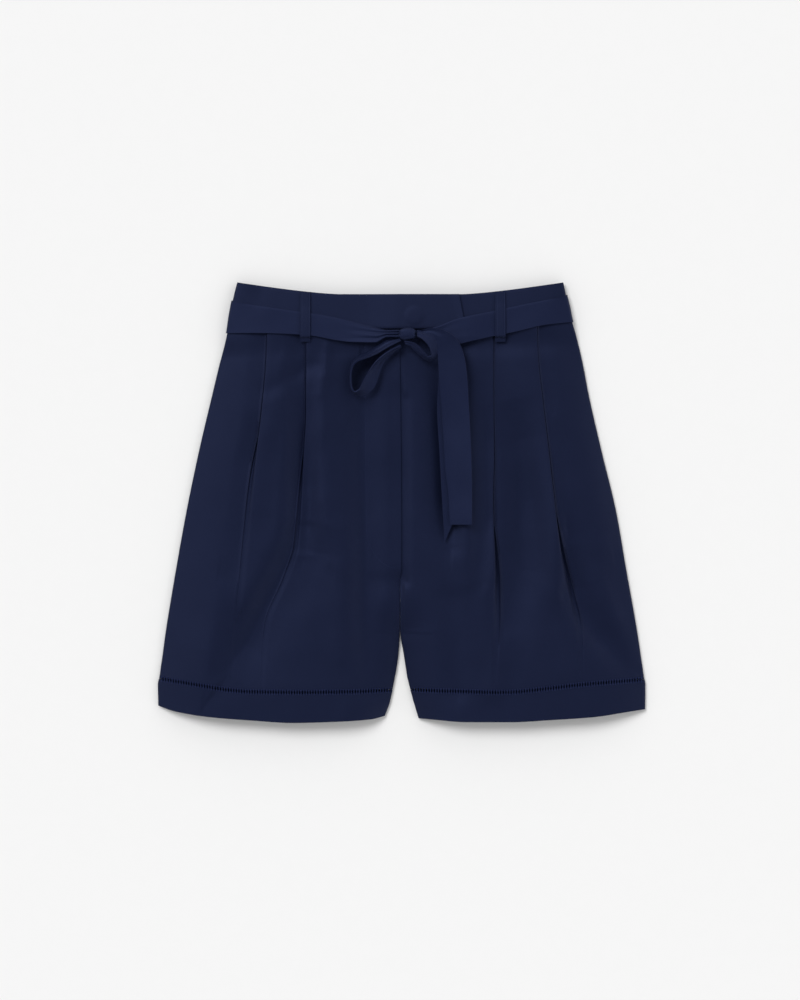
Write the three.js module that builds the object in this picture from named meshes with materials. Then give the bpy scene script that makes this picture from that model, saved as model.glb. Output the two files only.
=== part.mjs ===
// High-waisted pleated shorts with a tie belt, laid flat on a surface with the front upwards.
// Millimetres. Seen from above, +X is to the right, +Y is towards the waist and +Z is up.
// The origin is on the surface, under the middle of the garment.
// "Left" and "right" in the names are the wearer's: the wearer's right leg lies at -X.

import * as THREE from "three";
import { mergeVertices } from "three/addons/utils/BufferGeometryUtils.js";

// Walls of cloth, and the clearance left where two pieces meet
const CLOTH = 1.1;
const WAISTBAND = 1.6;
const RIBBON = 1.2;
const LOOP_STRIP = 1.0;
const HEM = 1.4;
const GAP = 0.3;
const LAID_GAP = 0.5;

// The waist
const WAIST_SIDE_Y = 234;
const WAIST_DIP = 12.9;
const WAIST_FLAT_SHARE = 0.38;
const WAIST_HALF_WIDTH = 173.7;
const WAIST_MIDDLE_X = -1.3;
const WAIST_CURVE = 1.35;
const WAISTBAND_HEIGHT = 37;
const SEAM_GAP = 0.6;

// Turning of the cloth at the sides, as the radius inside the turned wall
const TURN_INSIDE = 0.8;
const BACK_LOOP_TOP = LOOP_STRIP;
const BELT_BACK_Z = BACK_LOOP_TOP + GAP + RIBBON / 2;
const WAISTBAND_BACK_Z = BELT_BACK_Z + RIBBON / 2 + GAP + WAISTBAND / 2;
const WAISTBAND_TURN = TURN_INSIDE + WAISTBAND / 2;
const WAIST_SIDE_Z = WAISTBAND_BACK_Z + WAISTBAND_TURN;
const BELT_TURN = WAISTBAND_TURN + WAISTBAND / 2 + GAP + RIBBON / 2;
const PANEL_TURN = TURN_INSIDE + CLOTH / 2;
const PANEL_SIDE_Z = PANEL_TURN + CLOTH / 2;
const WAIST_LIFT = WAIST_SIDE_Z - PANEL_SIDE_Z;

// Height of the front above its side turn
const WAISTBAND_LOFT = 5.2;
const WAISTBAND_LOFT_WIDTH = 44;
const LIFT_RAMP = 26;
const LIFT_MIDDLE_Y = 184;
const LIFT_SLOPE = 0.033;
const LOFT = [
  { y: 240, height: 4.2, width: 44 },
  { y: 180, height: 4.2, width: 44 },
  { y: 150, height: 7.6, width: 52 },
  { y: 90, height: 9, width: 60 },
  { y: 0, height: 10, width: 66 },
  { y: -110, height: 11, width: 70 },
  { y: -200, height: 13, width: 80 },
  { y: -240, height: 14, width: 80 },
];
const CROTCH_LOFT_WIDTH = 48;
const LOFT_ROUNDNESS = 2.2;

// Outline: the side seams, the fly line and the inner legs
const SIDES = [
  { y: 234, right: -175, left: 172.4 },
  { y: 221.6, right: -178.2, left: 175 },
  { y: 208.9, right: -180.9, left: 178 },
  { y: 196.1, right: -183.2, left: 180.6 },
  { y: 183.3, right: -185, left: 184.4 },
  { y: 170.6, right: -187.7, left: 187.9 },
  { y: 145, right: -194.5, left: 193.8 },
  { y: 119.5, right: -200.6, left: 198.5 },
  { y: 55.6, right: -215.7, left: 213 },
  { y: -8.2, right: -229, left: 228.4 },
  { y: -72, right: -240.5, left: 239.6 },
  { y: -135.9, right: -251.1, left: 250.9 },
  { y: -186, right: -258.1, left: 258.4 },
  { y: -194, right: -259.6, left: 259.8 },
  { y: -222, right: -259, left: 259.6 },
];
const INNER = [
  { y: 200, right: -3.7, left: -3.7 },
  { y: -22.8, right: -1.6, left: -1.6 },
  { y: -138.6, right: -1.8, left: -1.4 },
  { y: -161.4, right: -3, left: 2.1 },
  { y: -186.9, right: -7, left: 6.2 },
  { y: -212.5, right: -12.3, left: 12.9 },
  { y: -230, right: -18.6, left: 18.1 },
];
const CROTCH_Y = -138.6;

// Ladder-stitch line above the hem band, and the hem's lower edge, by distance from the middle
const HEM_LINE = [
  { x: 0, right: -199.8, left: -199.2 },
  { x: 60, right: -201.3, left: -200.9 },
  { x: 108, right: -201.8, left: -201.8 },
  { x: 161, right: -201.2, left: -197.2 },
  { x: 182, right: -199.6, left: -194.6 },
  { x: 214, right: -194.4, left: -191.8 },
  { x: 262, right: -187.4, left: -188.6 },
];
const HEM_EDGE = [
  { x: 15, right: -226.6, left: -229.8 },
  { x: 33, right: -230.8, left: -231 },
  { x: 71, right: -233, left: -233.4 },
  { x: 115, right: -234.2, left: -233.4 },
  { x: 160, right: -231.6, left: -231.1 },
  { x: 205, right: -228, left: -228 },
  { x: 242, right: -222.2, left: -222.8 },
  { x: 262, right: -215.4, left: -220.2 },
];

// Pleats, outer then inner, for each leg: where the folded edge lies, how far the cloth runs
// under it, and how sharply it turns. Lower down, the fold opens into a soft step.
const PLEATS = {
  right: [
    [
      { y: 205, x: -142.6, under: 14, turn: 180, radius: 0.7 },
      { y: 150, x: -144, under: 11, turn: 180, radius: 0.7 },
      { y: 98, x: -148.4, under: 7, turn: 180, radius: 0.75 },
      { y: 53, x: -155.1, under: 3, turn: 165, radius: 0.9 },
      { y: 5, x: -160.3, under: 0.8, turn: 120, radius: 1.5 },
      { y: -64, x: -163.7, under: 0.6, turn: 62, radius: 3 },
      { y: -125, x: -170, under: 0.6, turn: 26, radius: 5 },
      { y: -205, x: -180, under: 0.6, turn: 4, radius: 8 },
    ],
    [
      { y: 205, x: -101.2, under: 14, turn: 180, radius: 0.7 },
      { y: 150, x: -101.6, under: 11, turn: 180, radius: 0.7 },
      { y: 98, x: -101.8, under: 7, turn: 180, radius: 0.75 },
      { y: 40, x: -104.6, under: 2.5, turn: 160, radius: 0.95 },
      { y: -40, x: -106.2, under: 0.8, turn: 100, radius: 2 },
      { y: -80, x: -118, under: 0.6, turn: 66, radius: 3 },
      { y: -130, x: -138, under: 0.6, turn: 30, radius: 5 },
      { y: -205, x: -140, under: 0.6, turn: 4, radius: 8 },
    ],
  ],
  left: [
    [
      { y: 205, x: 143.6, under: 14, turn: 180, radius: 0.7 },
      { y: 150, x: 145.6, under: 11, turn: 180, radius: 0.7 },
      { y: 98, x: 151, under: 8, turn: 180, radius: 0.75 },
      { y: 53, x: 156.3, under: 5, turn: 175, radius: 0.9 },
      { y: 5, x: 161.5, under: 2, turn: 150, radius: 1.2 },
      { y: -64, x: 169.5, under: 0.8, turn: 100, radius: 2.2 },
      { y: -125, x: 181, under: 0.6, turn: 44, radius: 4.5 },
      { y: -205, x: 188, under: 0.6, turn: 4, radius: 8 },
    ],
    [
      { y: 205, x: 98.6, under: 14, turn: 180, radius: 0.7 },
      { y: 150, x: 97.8, under: 11, turn: 180, radius: 0.7 },
      { y: 98, x: 98.2, under: 8, turn: 180, radius: 0.75 },
      { y: 53, x: 98.8, under: 5, turn: 175, radius: 0.9 },
      { y: 5, x: 97.6, under: 2.5, turn: 155, radius: 1.2 },
      { y: -64, x: 98.8, under: 0.8, turn: 96, radius: 2.4 },
      { y: -120, x: 96, under: 0.6, turn: 44, radius: 4.5 },
      { y: -205, x: 94, under: 0.6, turn: 4, radius: 8 },
    ],
  ],
};
const PLEAT_EASE = 14;
const PLEAT_APPROACH = 0.6;
const PLEAT_CLEARANCE = 1.5;
const PLEAT_SETTLE = 1;
const MIDDLE_OF_PLEATS = 120;

// Share of a panel's height in which it comes down from under the belt
const RAMP_SHARE = 0.16;

// The largest soft hollows of the front, each along a line from its top to its foot
const HOLLOWS = [
  { x1: -108, y1: -52, x2: -186, y2: -176, width: 13, depth: 3.2 },
  { x1: 168, y1: -70, x2: 240, y2: -168, width: 13, depth: 3.4 },
  { x1: 112, y1: 100, x2: 116, y2: -70, width: 11, depth: 1.8 },
  { x1: -52, y1: 98, x2: -38, y2: -150, width: 12, depth: 1.8 },
  { x1: 27, y1: 60, x2: 27, y2: -90, width: 9, depth: 1.4 },
];

// The overlapping end of the waistband
const TAB_TOP_X = 61.2;
const TAB_SLANT = 0.19;
const TAB_RISE_WIDTH = 12;
const UNDER_END_X = 0.8;
const TAB_STEP = WAISTBAND + GAP;
const LAP_RISEN_X = -2;
const LAP_LEFT_X = 68;

// Tie belt: upper and lower edges of the two strands that run to the knot, and of the back
const BELT_RIGHT = [
  { x: -190, top: 214.5, bottom: 179.9, crown: 0 },
  { x: -147, top: 208, bottom: 179.7, crown: 0 },
  { x: -115, top: 203.4, bottom: 178.5, crown: 0 },
  { x: -94, top: 200.4, bottom: 176.8, crown: 0 },
  { x: -76, top: 197.4, bottom: 173.3, crown: 0.3 },
  { x: -53, top: 192, bottom: 170.2, crown: 0.8 },
  { x: -28, top: 185.6, bottom: 169.6, crown: 1.8 },
  { x: -15, top: 182.6, bottom: 175.4, crown: 2.2 },
  { x: -2.4, top: 182.8, bottom: 175.2, crown: 1.5 },
];
const BELT_LEFT = [
  { x: 186, top: 221, bottom: 192.2, crown: 0 },
  { x: 152.7, top: 214.8, bottom: 188.5, crown: 0 },
  { x: 120.4, top: 208.2, bottom: 181.1, crown: 0 },
  { x: 99.5, top: 203.5, bottom: 176.9, crown: 0 },
  { x: 78.2, top: 199.2, bottom: 172.2, crown: 0 },
  { x: 57, top: 194.2, bottom: 168, crown: 0 },
  { x: 41, top: 187.6, bottom: 168, crown: 0 },
  { x: 25, top: 183, bottom: 173, crown: 0 },
  { x: 16.4, top: 182.4, bottom: 175, crown: 0 },
];
const BELT_BACK = [
  { x: -190, top: 214.5, bottom: 179.9 },
  { x: 186, top: 221, bottom: 192.2 },
];

// Belt loops
const LOOP_WIDTH = 11;
const LOOP_FOOT_Y = 170.6;
const LOOP_TOP_INSET = 0.4;
const LOOP_ABOVE_BELT = 2.4;
const LOOP_BELOW_BELT = 1.8;
const LOOP_BEND = 0.8;
const LOOP_CROWN = 0.4;
const FRONT_LOOPS = [
  { side: "right", x: -102.4 },
  { side: "left", x: 105 },
];
const BACK_LOOPS_X = [-112, 0, 112];
const BACK_LOOP_FOOT_Y = 175;

// Knot
const KNOT = { x: 6.9, y: 178.4, z: 20.6, rx: 8.2, ry: 6.6, rz: 5.4 };
const KNOT_SQUARENESS = 0.66;

// Bow loops, as the two edges of the ribbon: the edge nearer the eye, and the edge on the cloth
const BOW_RIGHT = [
  { x: -0.6, y: 171, z: 21.6, footX: -2.2, footY: 173.6, footZ: 17 },
  { x: -12.2, y: 165.2, z: 24.5, footX: -14.7, footY: 172, footZ: 17.2 },
  { x: -27.1, y: 156.7, z: 26, footX: -24.5, footY: 166.8, footZ: 15.8 },
  { x: -38.5, y: 152.3, z: 26.6, footX: -36, footY: 159.8, footZ: 13.9 },
  { x: -46.6, y: 149.4, z: 26.6, footX: -45.4, footY: 154.8, footZ: 13.4 },
  { x: -52.1, y: 143.4, z: 26.2, footX: -52.6, footY: 147.6, footZ: 13.2 },
  { x: -53.8, y: 133.3, z: 25.6, footX: -55, footY: 134, footZ: 13.2 },
  { x: -53.2, y: 123.7, z: 25, footX: -54.2, footY: 121.6, footZ: 13.2 },
  { x: -49.6, y: 117, z: 24.6, footX: -46.8, footY: 113.2, footZ: 13.2 },
  { x: -45.2, y: 119.2, z: 24.2, footX: -37.8, footY: 115.6, footZ: 13.2 },
  { x: -40, y: 129.6, z: 24, footX: -28.8, footY: 123.4, footZ: 13.2 },
  { x: -34, y: 139.8, z: 24, footX: -24.6, footY: 135.6, footZ: 13.3 },
  { x: -25.8, y: 150.6, z: 24.6, footX: -20.6, footY: 147.6, footZ: 13.9 },
  { x: -12, y: 161.4, z: 23.6, footX: -9.2, footY: 158.2, footZ: 16.4 },
  { x: -1.2, y: 166.8, z: 22.6, footX: 0.2, footY: 164.4, footZ: 17.4 },
];
const BOW_LEFT = [
  { x: 3.2, y: 171, z: 22.4, footX: 4.2, footY: 167.2, footZ: 20.6 },
  { x: 12, y: 169.6, z: 25, footX: 9.4, footY: 165, footZ: 20.4 },
  { x: 19.2, y: 164.6, z: 26.2, footX: 14.4, footY: 160.6, footZ: 19.8 },
  { x: 24.6, y: 158.4, z: 26.4, footX: 20, footY: 155.4, footZ: 19.4 },
  { x: 28.6, y: 154.2, z: 26.4, footX: 28.6, footY: 150.4, footZ: 19 },
  { x: 31.6, y: 156, z: 26.4, footX: 36.2, footY: 152.6, footZ: 19.2 },
  { x: 29.6, y: 163.2, z: 26.4, footX: 38.4, footY: 161.4, footZ: 20.2 },
  { x: 25.2, y: 169.4, z: 26.2, footX: 37.2, footY: 171.8, footZ: 21.2 },
  { x: 20.4, y: 173.4, z: 25.4, footX: 30, footY: 178.6, footZ: 21.2 },
  { x: 16.4, y: 175.4, z: 24.4, footX: 17, footY: 181.8, footZ: 21.2 },
];

// Hanging ends of the belt, by their left and right edges; they lie on the cloth below
const TAIL_FRONT = [
  { lx: 17, ly: 175.2, rx: 17.2, ry: 182 },
  { lx: 26, ly: 172.4, rx: 34, ry: 184.6 },
  { lx: 33.4, ly: 166.4, rx: 50.4, ry: 179.4 },
  { lx: 38, ly: 158, rx: 61.6, ry: 167.4 },
  { lx: 38.9, ly: 147.2, rx: 67.4, ry: 150.2 },
  { lx: 40, ly: 130, rx: 69.8, ry: 131 },
  { lx: 42, ly: 106.7, rx: 71.2, ry: 107.2 },
  { lx: 44.4, ly: 70, rx: 73.2, ry: 70.4 },
  { lx: 46.6, ly: 34.4, rx: 74.4, ry: 34.4 },
  { lx: 50, ly: 6, rx: 74.8, ry: 6 },
  { lx: 51.2, ly: -23.7, rx: 74.7, ry: -23.7 },
];
const TAIL_BACK = [
  { lx: 17, ly: 175.4, rx: 17.2, ry: 181.6 },
  { lx: 26.6, ly: 172.2, rx: 33, ry: 182.8 },
  { lx: 34, ly: 166.4, rx: 48.4, ry: 177.6 },
  { lx: 38.4, ly: 158, rx: 58.6, ry: 166.2 },
  { lx: 39.4, ly: 147, rx: 63, ry: 150 },
  { lx: 38.6, ly: 122, rx: 65, ry: 123 },
  { lx: 37.8, ly: 98, rx: 65.6, ry: 99 },
  { lx: 40.4, ly: 50, rx: 67.4, ry: 52 },
  { lx: 43, ly: 2, rx: 68.6, ry: 26 },
  { lx: 45.8, ly: -42, rx: 66, ry: 4 },
];
const TAIL_SETTLE_TOP = 165;
const TAIL_SETTLE_FOOT = 144;

// Fineness of the meshes, as steps along each stretch
const STEPS = {
  sideTurn: 3,
  outerRun: 5,
  underRun: 2,
  pleatTurn: 3,
  pleatShelf: 1,
  settle: 1,
  middleRun: 5,
  innerRun: 6,
  rowsUnderBelt: 5,
  rowsAboveCrotch: 9,
  rowsBelowCrotch: 3,
  hemRows: 2,
  hemAcross: 18,
  backAcross: 8,
  bandRows: 2,
  bandRise: 9,
  bandMiddle: 5,
  bandLap: 3,
  waistbandBack: 12,
  beltBack: 8,
  ribbonAcross: 3,
  bowRight: 1,
  bowLeft: 2,
  tail: 1,
  knotDetail: 3,
};

const COLOURS = {
  cloth: new THREE.MeshStandardMaterial({ color: "#1b2745", roughness: 0.88, metalness: 0 }),
  belt: new THREE.MeshStandardMaterial({ color: "#1c2848", roughness: 0.86, metalness: 0 }),
};

const SETTLE_PASSES = 16;
const MIDDLE_SEAM_RUN = 1.5;
const SMALL = 1e-6;

const clamp = (value) => Math.min(1, Math.max(0, value));
const ease = (share) => clamp(share) ** 2 * (3 - 2 * clamp(share));
const mix = (a, b, share) => a + (b - a) * share;
const steps = (from, to, count) =>
  Array.from({ length: count + 1 }, (_, step) => mix(from, to, step / count));

// A smooth reading of one column of a table, between rows that are in order of another column.
// The slope at a row is the mean of its neighbours' slopes, and none where the column turns back.
function read(table, by, column, at) {
  const rows = table[0][by] < table[table.length - 1][by] ? table : [...table].reverse();
  if (at <= rows[0][by]) return rows[0][column];
  if (at >= rows[rows.length - 1][by]) return rows[rows.length - 1][column];
  const upper = rows.findIndex((row) => row[by] > at);
  const between = (row, next) => (next[column] - row[column]) / (next[by] - row[by]);
  const slope = (index) => {
    const before = index > 0 ? between(rows[index - 1], rows[index]) : null;
    const after = index < rows.length - 1 ? between(rows[index], rows[index + 1]) : null;
    if (before === null || after === null) return before ?? after;
    return before * after > 0 ? (2 * before * after) / (before + after) : 0;
  };
  const [low, high] = [rows[upper - 1], rows[upper]];
  const span = high[by] - low[by];
  const t = (at - low[by]) / span;
  const start = slope(upper - 1) * span;
  const end = slope(upper) * span;
  const rise = high[column] - low[column];
  const squared = 3 * rise - 2 * start - end;
  const cubed = start + end - 2 * rise;
  return low[column] + t * start + t ** 2 * squared + t ** 3 * cubed;
}

// Directions from a leg's side seam to the middle
const INWARD = { right: 1, left: -1 };

const sideX = (leg, y) => read(SIDES, "y", leg, y);
const innerX = (leg, y) => read(INNER, "y", leg, y) - (INWARD[leg] * GAP) / 2;

function waistTopY(x) {
  const out = Math.abs(x - WAIST_MIDDLE_X) / WAIST_HALF_WIDTH;
  const share = clamp((out - WAIST_FLAT_SHARE) / (1 - WAIST_FLAT_SHARE));
  return WAIST_SIDE_Y - WAIST_DIP * (1 - share ** WAIST_CURVE);
}

const waistSeamY = (x) => waistTopY(x) - WAISTBAND_HEIGHT;
const hemLineY = (leg, x) => read(HEM_LINE, "x", leg, Math.abs(x));
const hemEdgeY = (leg, x) => read(HEM_EDGE, "x", leg, Math.abs(x));

// A rounded rise from 0 at an edge to 1 at a distance in from it
const rounded = (distance, width) => 1 - (1 - clamp(distance / width)) ** LOFT_ROUNDNESS;

// Height of the side turn's middle: low on the legs, lifted by the layers behind the waist
function turnZ(x, y) {
  const down = LIFT_MIDDLE_Y + LIFT_SLOPE * x - y;
  return PANEL_SIDE_Z + WAIST_LIFT * (1 - ease(down / LIFT_RAMP));
}

// Distance from a point to a segment in the plane of the garment
function distanceTo(x, y, line) {
  const [dx, dy] = [line.x2 - line.x1, line.y2 - line.y1];
  const along = clamp(((x - line.x1) * dx + (y - line.y1) * dy) / (dx * dx + dy * dy));
  return Math.hypot(x - line.x1 - along * dx, y - line.y1 - along * dy);
}

function hollowAt(x, y) {
  const depthOf = (line) => line.depth * Math.exp(-((distanceTo(x, y, line) / line.width) ** 2));
  return HOLLOWS.reduce((sum, line) => sum + depthOf(line), 0);
}

// Height of the front panel above its side turn: a dome over both legs that parts at the crotch
function loft(leg, x, y) {
  const fromSide = Math.abs(x - sideX(leg, y)) - PANEL_TURN;
  const below = Math.abs(x - innerX(leg, y)) - PANEL_TURN;
  const above = Math.hypot(x - innerX(leg, CROTCH_Y), y - CROTCH_Y);
  const fromInner = y < CROTCH_Y ? below : above;
  const dome = rounded(fromSide, read(LOFT, "y", "width", y)) * rounded(fromInner, CROTCH_LOFT_WIDTH);
  return Math.max(0, dome) * Math.max(0, read(LOFT, "y", "height", y) - hollowAt(x, y));
}

const frontZ = (leg, x, y) => turnZ(x, y) + PANEL_TURN + loft(leg, x, y);
const legAt = (x) => (x < INNER[0].right ? "right" : "left");
const waistbandZ = (x, y) => {
  const fromSide = Math.abs(x - sideX(legAt(x), y)) - WAISTBAND_TURN;
  return WAIST_SIDE_Z + WAISTBAND_TURN + WAISTBAND_LOFT * rounded(fromSide, WAISTBAND_LOFT_WIDTH);
};

// A quarter turn of cloth at a side edge, as distances in from the edge and heights about the turn.
// "up" is 1 for the front and -1 for the back, which both start half a gap from the turn's middle.
function sideTurn(radius, wall, up) {
  const first = Math.asin(GAP / 2 / radius);
  return steps(first, Math.PI / 2, STEPS.sideTurn).map((angle, index) => ({
    q: radius + wall / 2 - radius * Math.cos(angle),
    z: up * radius * Math.sin(angle),
    turned: index === 0,
  }));
}

// One pleat on a row: points from where its under layer ends its run, up and back to the folded
// edge and over on to the top layer, with the rise shared evenly below and above the cloth's level
function pleatPath(pleat, leg, y, edgeX) {
  const row = (column) => read(pleat, "y", column, y);
  const turn = THREE.MathUtils.degToRad(row("turn"));
  const [radius, shelf] = [row("radius"), row("under")];
  const rise = 2 * radius * (1 - Math.cos(turn)) + shelf * Math.sin(turn);
  const run = 2 * radius * Math.sin(turn) + shelf * Math.cos(turn);
  const closed = (1 - Math.cos(turn)) / 2;
  const edge = INWARD[leg] * (row("x") - edgeX);
  const topStart = edge + (radius + CLOTH / 2) * closed;
  const underEnd = topStart - run;
  const first = steps(0, turn, STEPS.pleatTurn).map((angle) => ({
    q: underEnd + radius * Math.sin(angle),
    z: radius * (1 - Math.cos(angle)) - rise / 2,
  }));
  const second = steps(turn, 0, STEPS.pleatTurn).map((angle) => ({
    q: topStart - radius * Math.sin(angle),
    z: rise / 2 - radius * (1 - Math.cos(angle)),
  }));
  return {
    points: [...first, ...second],
    rise,
    approach: Math.min(edge - PLEAT_APPROACH, underEnd - PLEAT_CLEARANCE),
    underEnd,
    topStart,
    settled: Math.max(
      underEnd + (radius + CLOTH / 2 + PLEAT_SETTLE) * closed,
      topStart + PLEAT_SETTLE,
    ),
  };
}

// A row of the front panel, from the side seam round both pleats to the middle or the inner leg
function frontRow(leg, rowY, withPleats, wall, pleatY) {
  const sideY = rowY.side;
  const edgeX = sideX(leg, sideY);
  const innerY = rowY.inner;
  const width = INWARD[leg] * (innerX(leg, innerY) - edgeX);
  const turn = sideTurn(PANEL_TURN, wall, 1);
  const turnEnd = turn[turn.length - 1].q;
  const parted = innerY < CROTCH_Y + SMALL;
  const lastRun = parted ? width - turnEnd : width - MIDDLE_SEAM_RUN;
  const pleats = withPleats ? PLEATS[leg].map((pleat) => pleatPath(pleat, leg, pleatY, edgeX)) : [];
  const reliefOf = (pleat, q) => {
    if (q < pleat.approach) return -ease((q - pleat.approach + PLEAT_EASE) / PLEAT_EASE);
    return q < pleat.topStart ? 0 : 1 - ease((q - pleat.settled) / PLEAT_EASE);
  };
  const relief = (q) =>
    pleats.reduce((sum, pleat) => sum + (pleat.rise / 2) * reliefOf(pleat, q), 0);
  const flat = (q) => ({ q, z: PANEL_TURN + relief(q), lofted: true });
  const path = turn.slice(0, -1);
  if (withPleats) {
    const [outer, inner] = pleats;
    const onTop = (q, pleat) => ({ q, z: PANEL_TURN + pleat.rise / 2, lofted: true });
    const beneath = (q, pleat) => ({ q, z: PANEL_TURN - pleat.rise / 2, lofted: true });
    const folded = (pleat) => [
      ...steps(pleat.approach, pleat.underEnd, STEPS.underRun)
        .slice(1, -1)
        .map((q) => beneath(q, pleat)),
      ...pleat.points.map(({ q, z }) => ({ q, z: PANEL_TURN + z, lofted: true })),
      ...steps(pleat.topStart, pleat.settled, STEPS.settle)
        .slice(1)
        .map((q) => onTop(q, pleat)),
    ];
    path.push(...steps(turnEnd, outer.approach, STEPS.outerRun).map(flat));
    path.push(...folded(outer));
    path.push(...steps(outer.settled, inner.approach, STEPS.middleRun).slice(1).map(flat));
    path.push(...folded(inner));
    path.push(...steps(inner.settled, lastRun, STEPS.innerRun).slice(1).map(flat));
  } else {
    path.push(...steps(turnEnd, lastRun, STEPS.hemAcross).map(flat));
  }
  const ending = [...turn].reverse().slice(1);
  path.push(
    ...ending.map((point, index) => {
      if (parted) return { ...point, q: width - point.q, ending: true };
      const q = mix(lastRun, width, (index + 1) / ending.length);
      return { q, z: PANEL_TURN, lofted: true };
    }),
  );
  return path.map((point) => place(leg, point, edgeX, rowY));
}

// Puts a point of a row at its place: its height on the row, and the loft of the front there
function place(leg, point, edgeX, rowY) {
  const x = edgeX + INWARD[leg] * point.q;
  const y = rowY.at(x);
  const height = point.lofted ? loft(leg, x, y) : 0;
  const spot = new THREE.Vector3(x, y, turnZ(x, y) + point.z + height);
  const outward = point.ending ? INWARD[leg] : -INWARD[leg];
  return point.turned ? { spot, normal: new THREE.Vector3(outward, 0, 0) } : { spot };
}

// A row's heights: between the waist seam and the ladder line, or from that line to the hem
function panelRow(leg, share) {
  const at = (x) => mix(waistSeamY(x), hemLineY(leg, x) + GAP / 2, share);
  return { side: settle((y) => at(sideX(leg, y))), inner: settle((y) => at(innerX(leg, y))), at };
}

function hemRow(leg, share) {
  const at = (x) => mix(hemLineY(leg, x) - GAP / 2, hemEdgeY(leg, x), share);
  return { side: settle((y) => at(sideX(leg, y))), inner: settle((y) => at(innerX(leg, y))), at };
}

// The value that a slowly changing function gives back unchanged, found by repeating it
function settle(next) {
  let value = 0;
  for (let pass = 0; pass < SETTLE_PASSES; pass += 1) value = next(value);
  return value;
}

// A closed wall of cloth about a grid of points, half of its thickness on each side
function wallGeometry(grid, thickness) {
  const rows = grid.length;
  const columns = grid[0].length;
  const within = (index, count) => Math.min(count - 1, Math.max(0, index));
  const spotAt = (i, j) => grid[within(i, rows)][within(j, columns)].spot;
  const positions = [];
  const offset = new THREE.Vector3();
  for (const side of [1, -1]) {
    for (let i = 0; i < rows; i += 1) {
      for (let j = 0; j < columns; j += 1) {
        const down = spotAt(i + 1, j).clone().sub(spotAt(i - 1, j));
        const across = spotAt(i, j + 1).clone().sub(spotAt(i, j - 1));
        const normal = down.cross(across).normalize();
        const fixed = grid[i][j].normal;
        if (fixed) normal.copy(fixed.dot(normal) < 0 ? fixed.clone().negate() : fixed);
        offset.copy(grid[i][j].spot).addScaledVector(normal, (side * thickness) / 2);
        positions.push(offset.x, offset.y, offset.z);
      }
    }
  }
  const upper = (i, j) => i * columns + j;
  const lower = (i, j) => rows * columns + upper(i, j);
  const indices = [];
  for (let i = 0; i < rows - 1; i += 1) {
    for (let j = 0; j < columns - 1; j += 1) {
      indices.push(upper(i, j), upper(i + 1, j), upper(i + 1, j + 1));
      indices.push(upper(i, j), upper(i + 1, j + 1), upper(i, j + 1));
      indices.push(lower(i, j), lower(i + 1, j + 1), lower(i + 1, j));
      indices.push(lower(i, j), lower(i, j + 1), lower(i + 1, j + 1));
    }
  }
  const border = [];
  for (let i = 0; i < rows; i += 1) border.push([i, 0]);
  for (let j = 1; j < columns; j += 1) border.push([rows - 1, j]);
  for (let i = rows - 2; i >= 0; i -= 1) border.push([i, columns - 1]);
  for (let j = columns - 2; j >= 0; j -= 1) border.push([0, j]);
  for (let k = 0; k < border.length - 1; k += 1) {
    const [a, b] = [border[k], border[k + 1]];
    indices.push(upper(...b), upper(...a), lower(...a));
    indices.push(upper(...b), lower(...a), lower(...b));
  }
  const geometry = new THREE.BufferGeometry();
  geometry.setAttribute("position", new THREE.Float32BufferAttribute(positions, 3));
  geometry.setIndex(indices);
  return geometry;
}

const garment = new THREE.Group();

function addPiece(name, geometry, material) {
  const piece = new THREE.Mesh(geometry, material);
  piece.name = name;
  garment.add(piece);
}

// Rows of a panel, as shares of the way from the waist seam to the ladder line above the hem.
// They are closer where the cloth comes down from under the belt, and one lies on the crotch.
function panelShares(leg) {
  const x = innerX(leg, CROTCH_Y);
  const crotchShare = (waistSeamY(x) - CROTCH_Y) / (waistSeamY(x) - hemLineY(leg, x) - GAP / 2);
  return [
    ...steps(0, RAMP_SHARE, STEPS.rowsUnderBelt),
    ...steps(RAMP_SHARE, crotchShare, STEPS.rowsAboveCrotch).slice(1),
    ...steps(crotchShare, 1, STEPS.rowsBelowCrotch).slice(1),
  ];
}

function frontPanel(leg) {
  const grid = panelShares(leg).map((share) => {
    const row = panelRow(leg, share);
    return frontRow(leg, row, true, CLOTH, row.at(INWARD[leg] * -MIDDLE_OF_PLEATS));
  });
  return wallGeometry(grid, CLOTH);
}

function frontHem(leg) {
  const grid = steps(0, 1, STEPS.hemRows).map((share) =>
    frontRow(leg, hemRow(leg, share), false, HEM, 0),
  );
  return wallGeometry(grid, HEM);
}

// A row of the back, flat on the surface between its side turn and the middle or the inner leg
function backRow(leg, rowY, wall) {
  const edgeX = sideX(leg, rowY.side);
  const width = INWARD[leg] * (innerX(leg, rowY.inner) - edgeX);
  const radius = PANEL_SIDE_Z - wall / 2;
  const turn = sideTurn(radius, wall, -1);
  const turnEnd = turn[turn.length - 1].q;
  const parted = rowY.inner < CROTCH_Y + SMALL;
  const lastRun = parted ? width - turnEnd : width - MIDDLE_SEAM_RUN;
  const path = [...turn.slice(0, -1)];
  path.push(...steps(turnEnd, lastRun, STEPS.backAcross).map((q) => ({ q, z: -radius })));
  const ending = [...turn].reverse().slice(1);
  path.push(
    ...ending.map((point, index) => {
      if (parted) return { ...point, q: width - point.q, ending: true };
      return { q: mix(lastRun, width, (index + 1) / ending.length), z: -radius };
    }),
  );
  return path.map((point) => place(leg, point, edgeX, rowY));
}

function backPanel(leg) {
  const grid = panelShares(leg).map((share) => backRow(leg, panelRow(leg, share), CLOTH));
  return wallGeometry(grid, CLOTH);
}

function backHem(leg) {
  const grid = steps(0, 1, STEPS.hemRows).map((share) => backRow(leg, hemRow(leg, share), HEM));
  return wallGeometry(grid, HEM);
}

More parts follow.
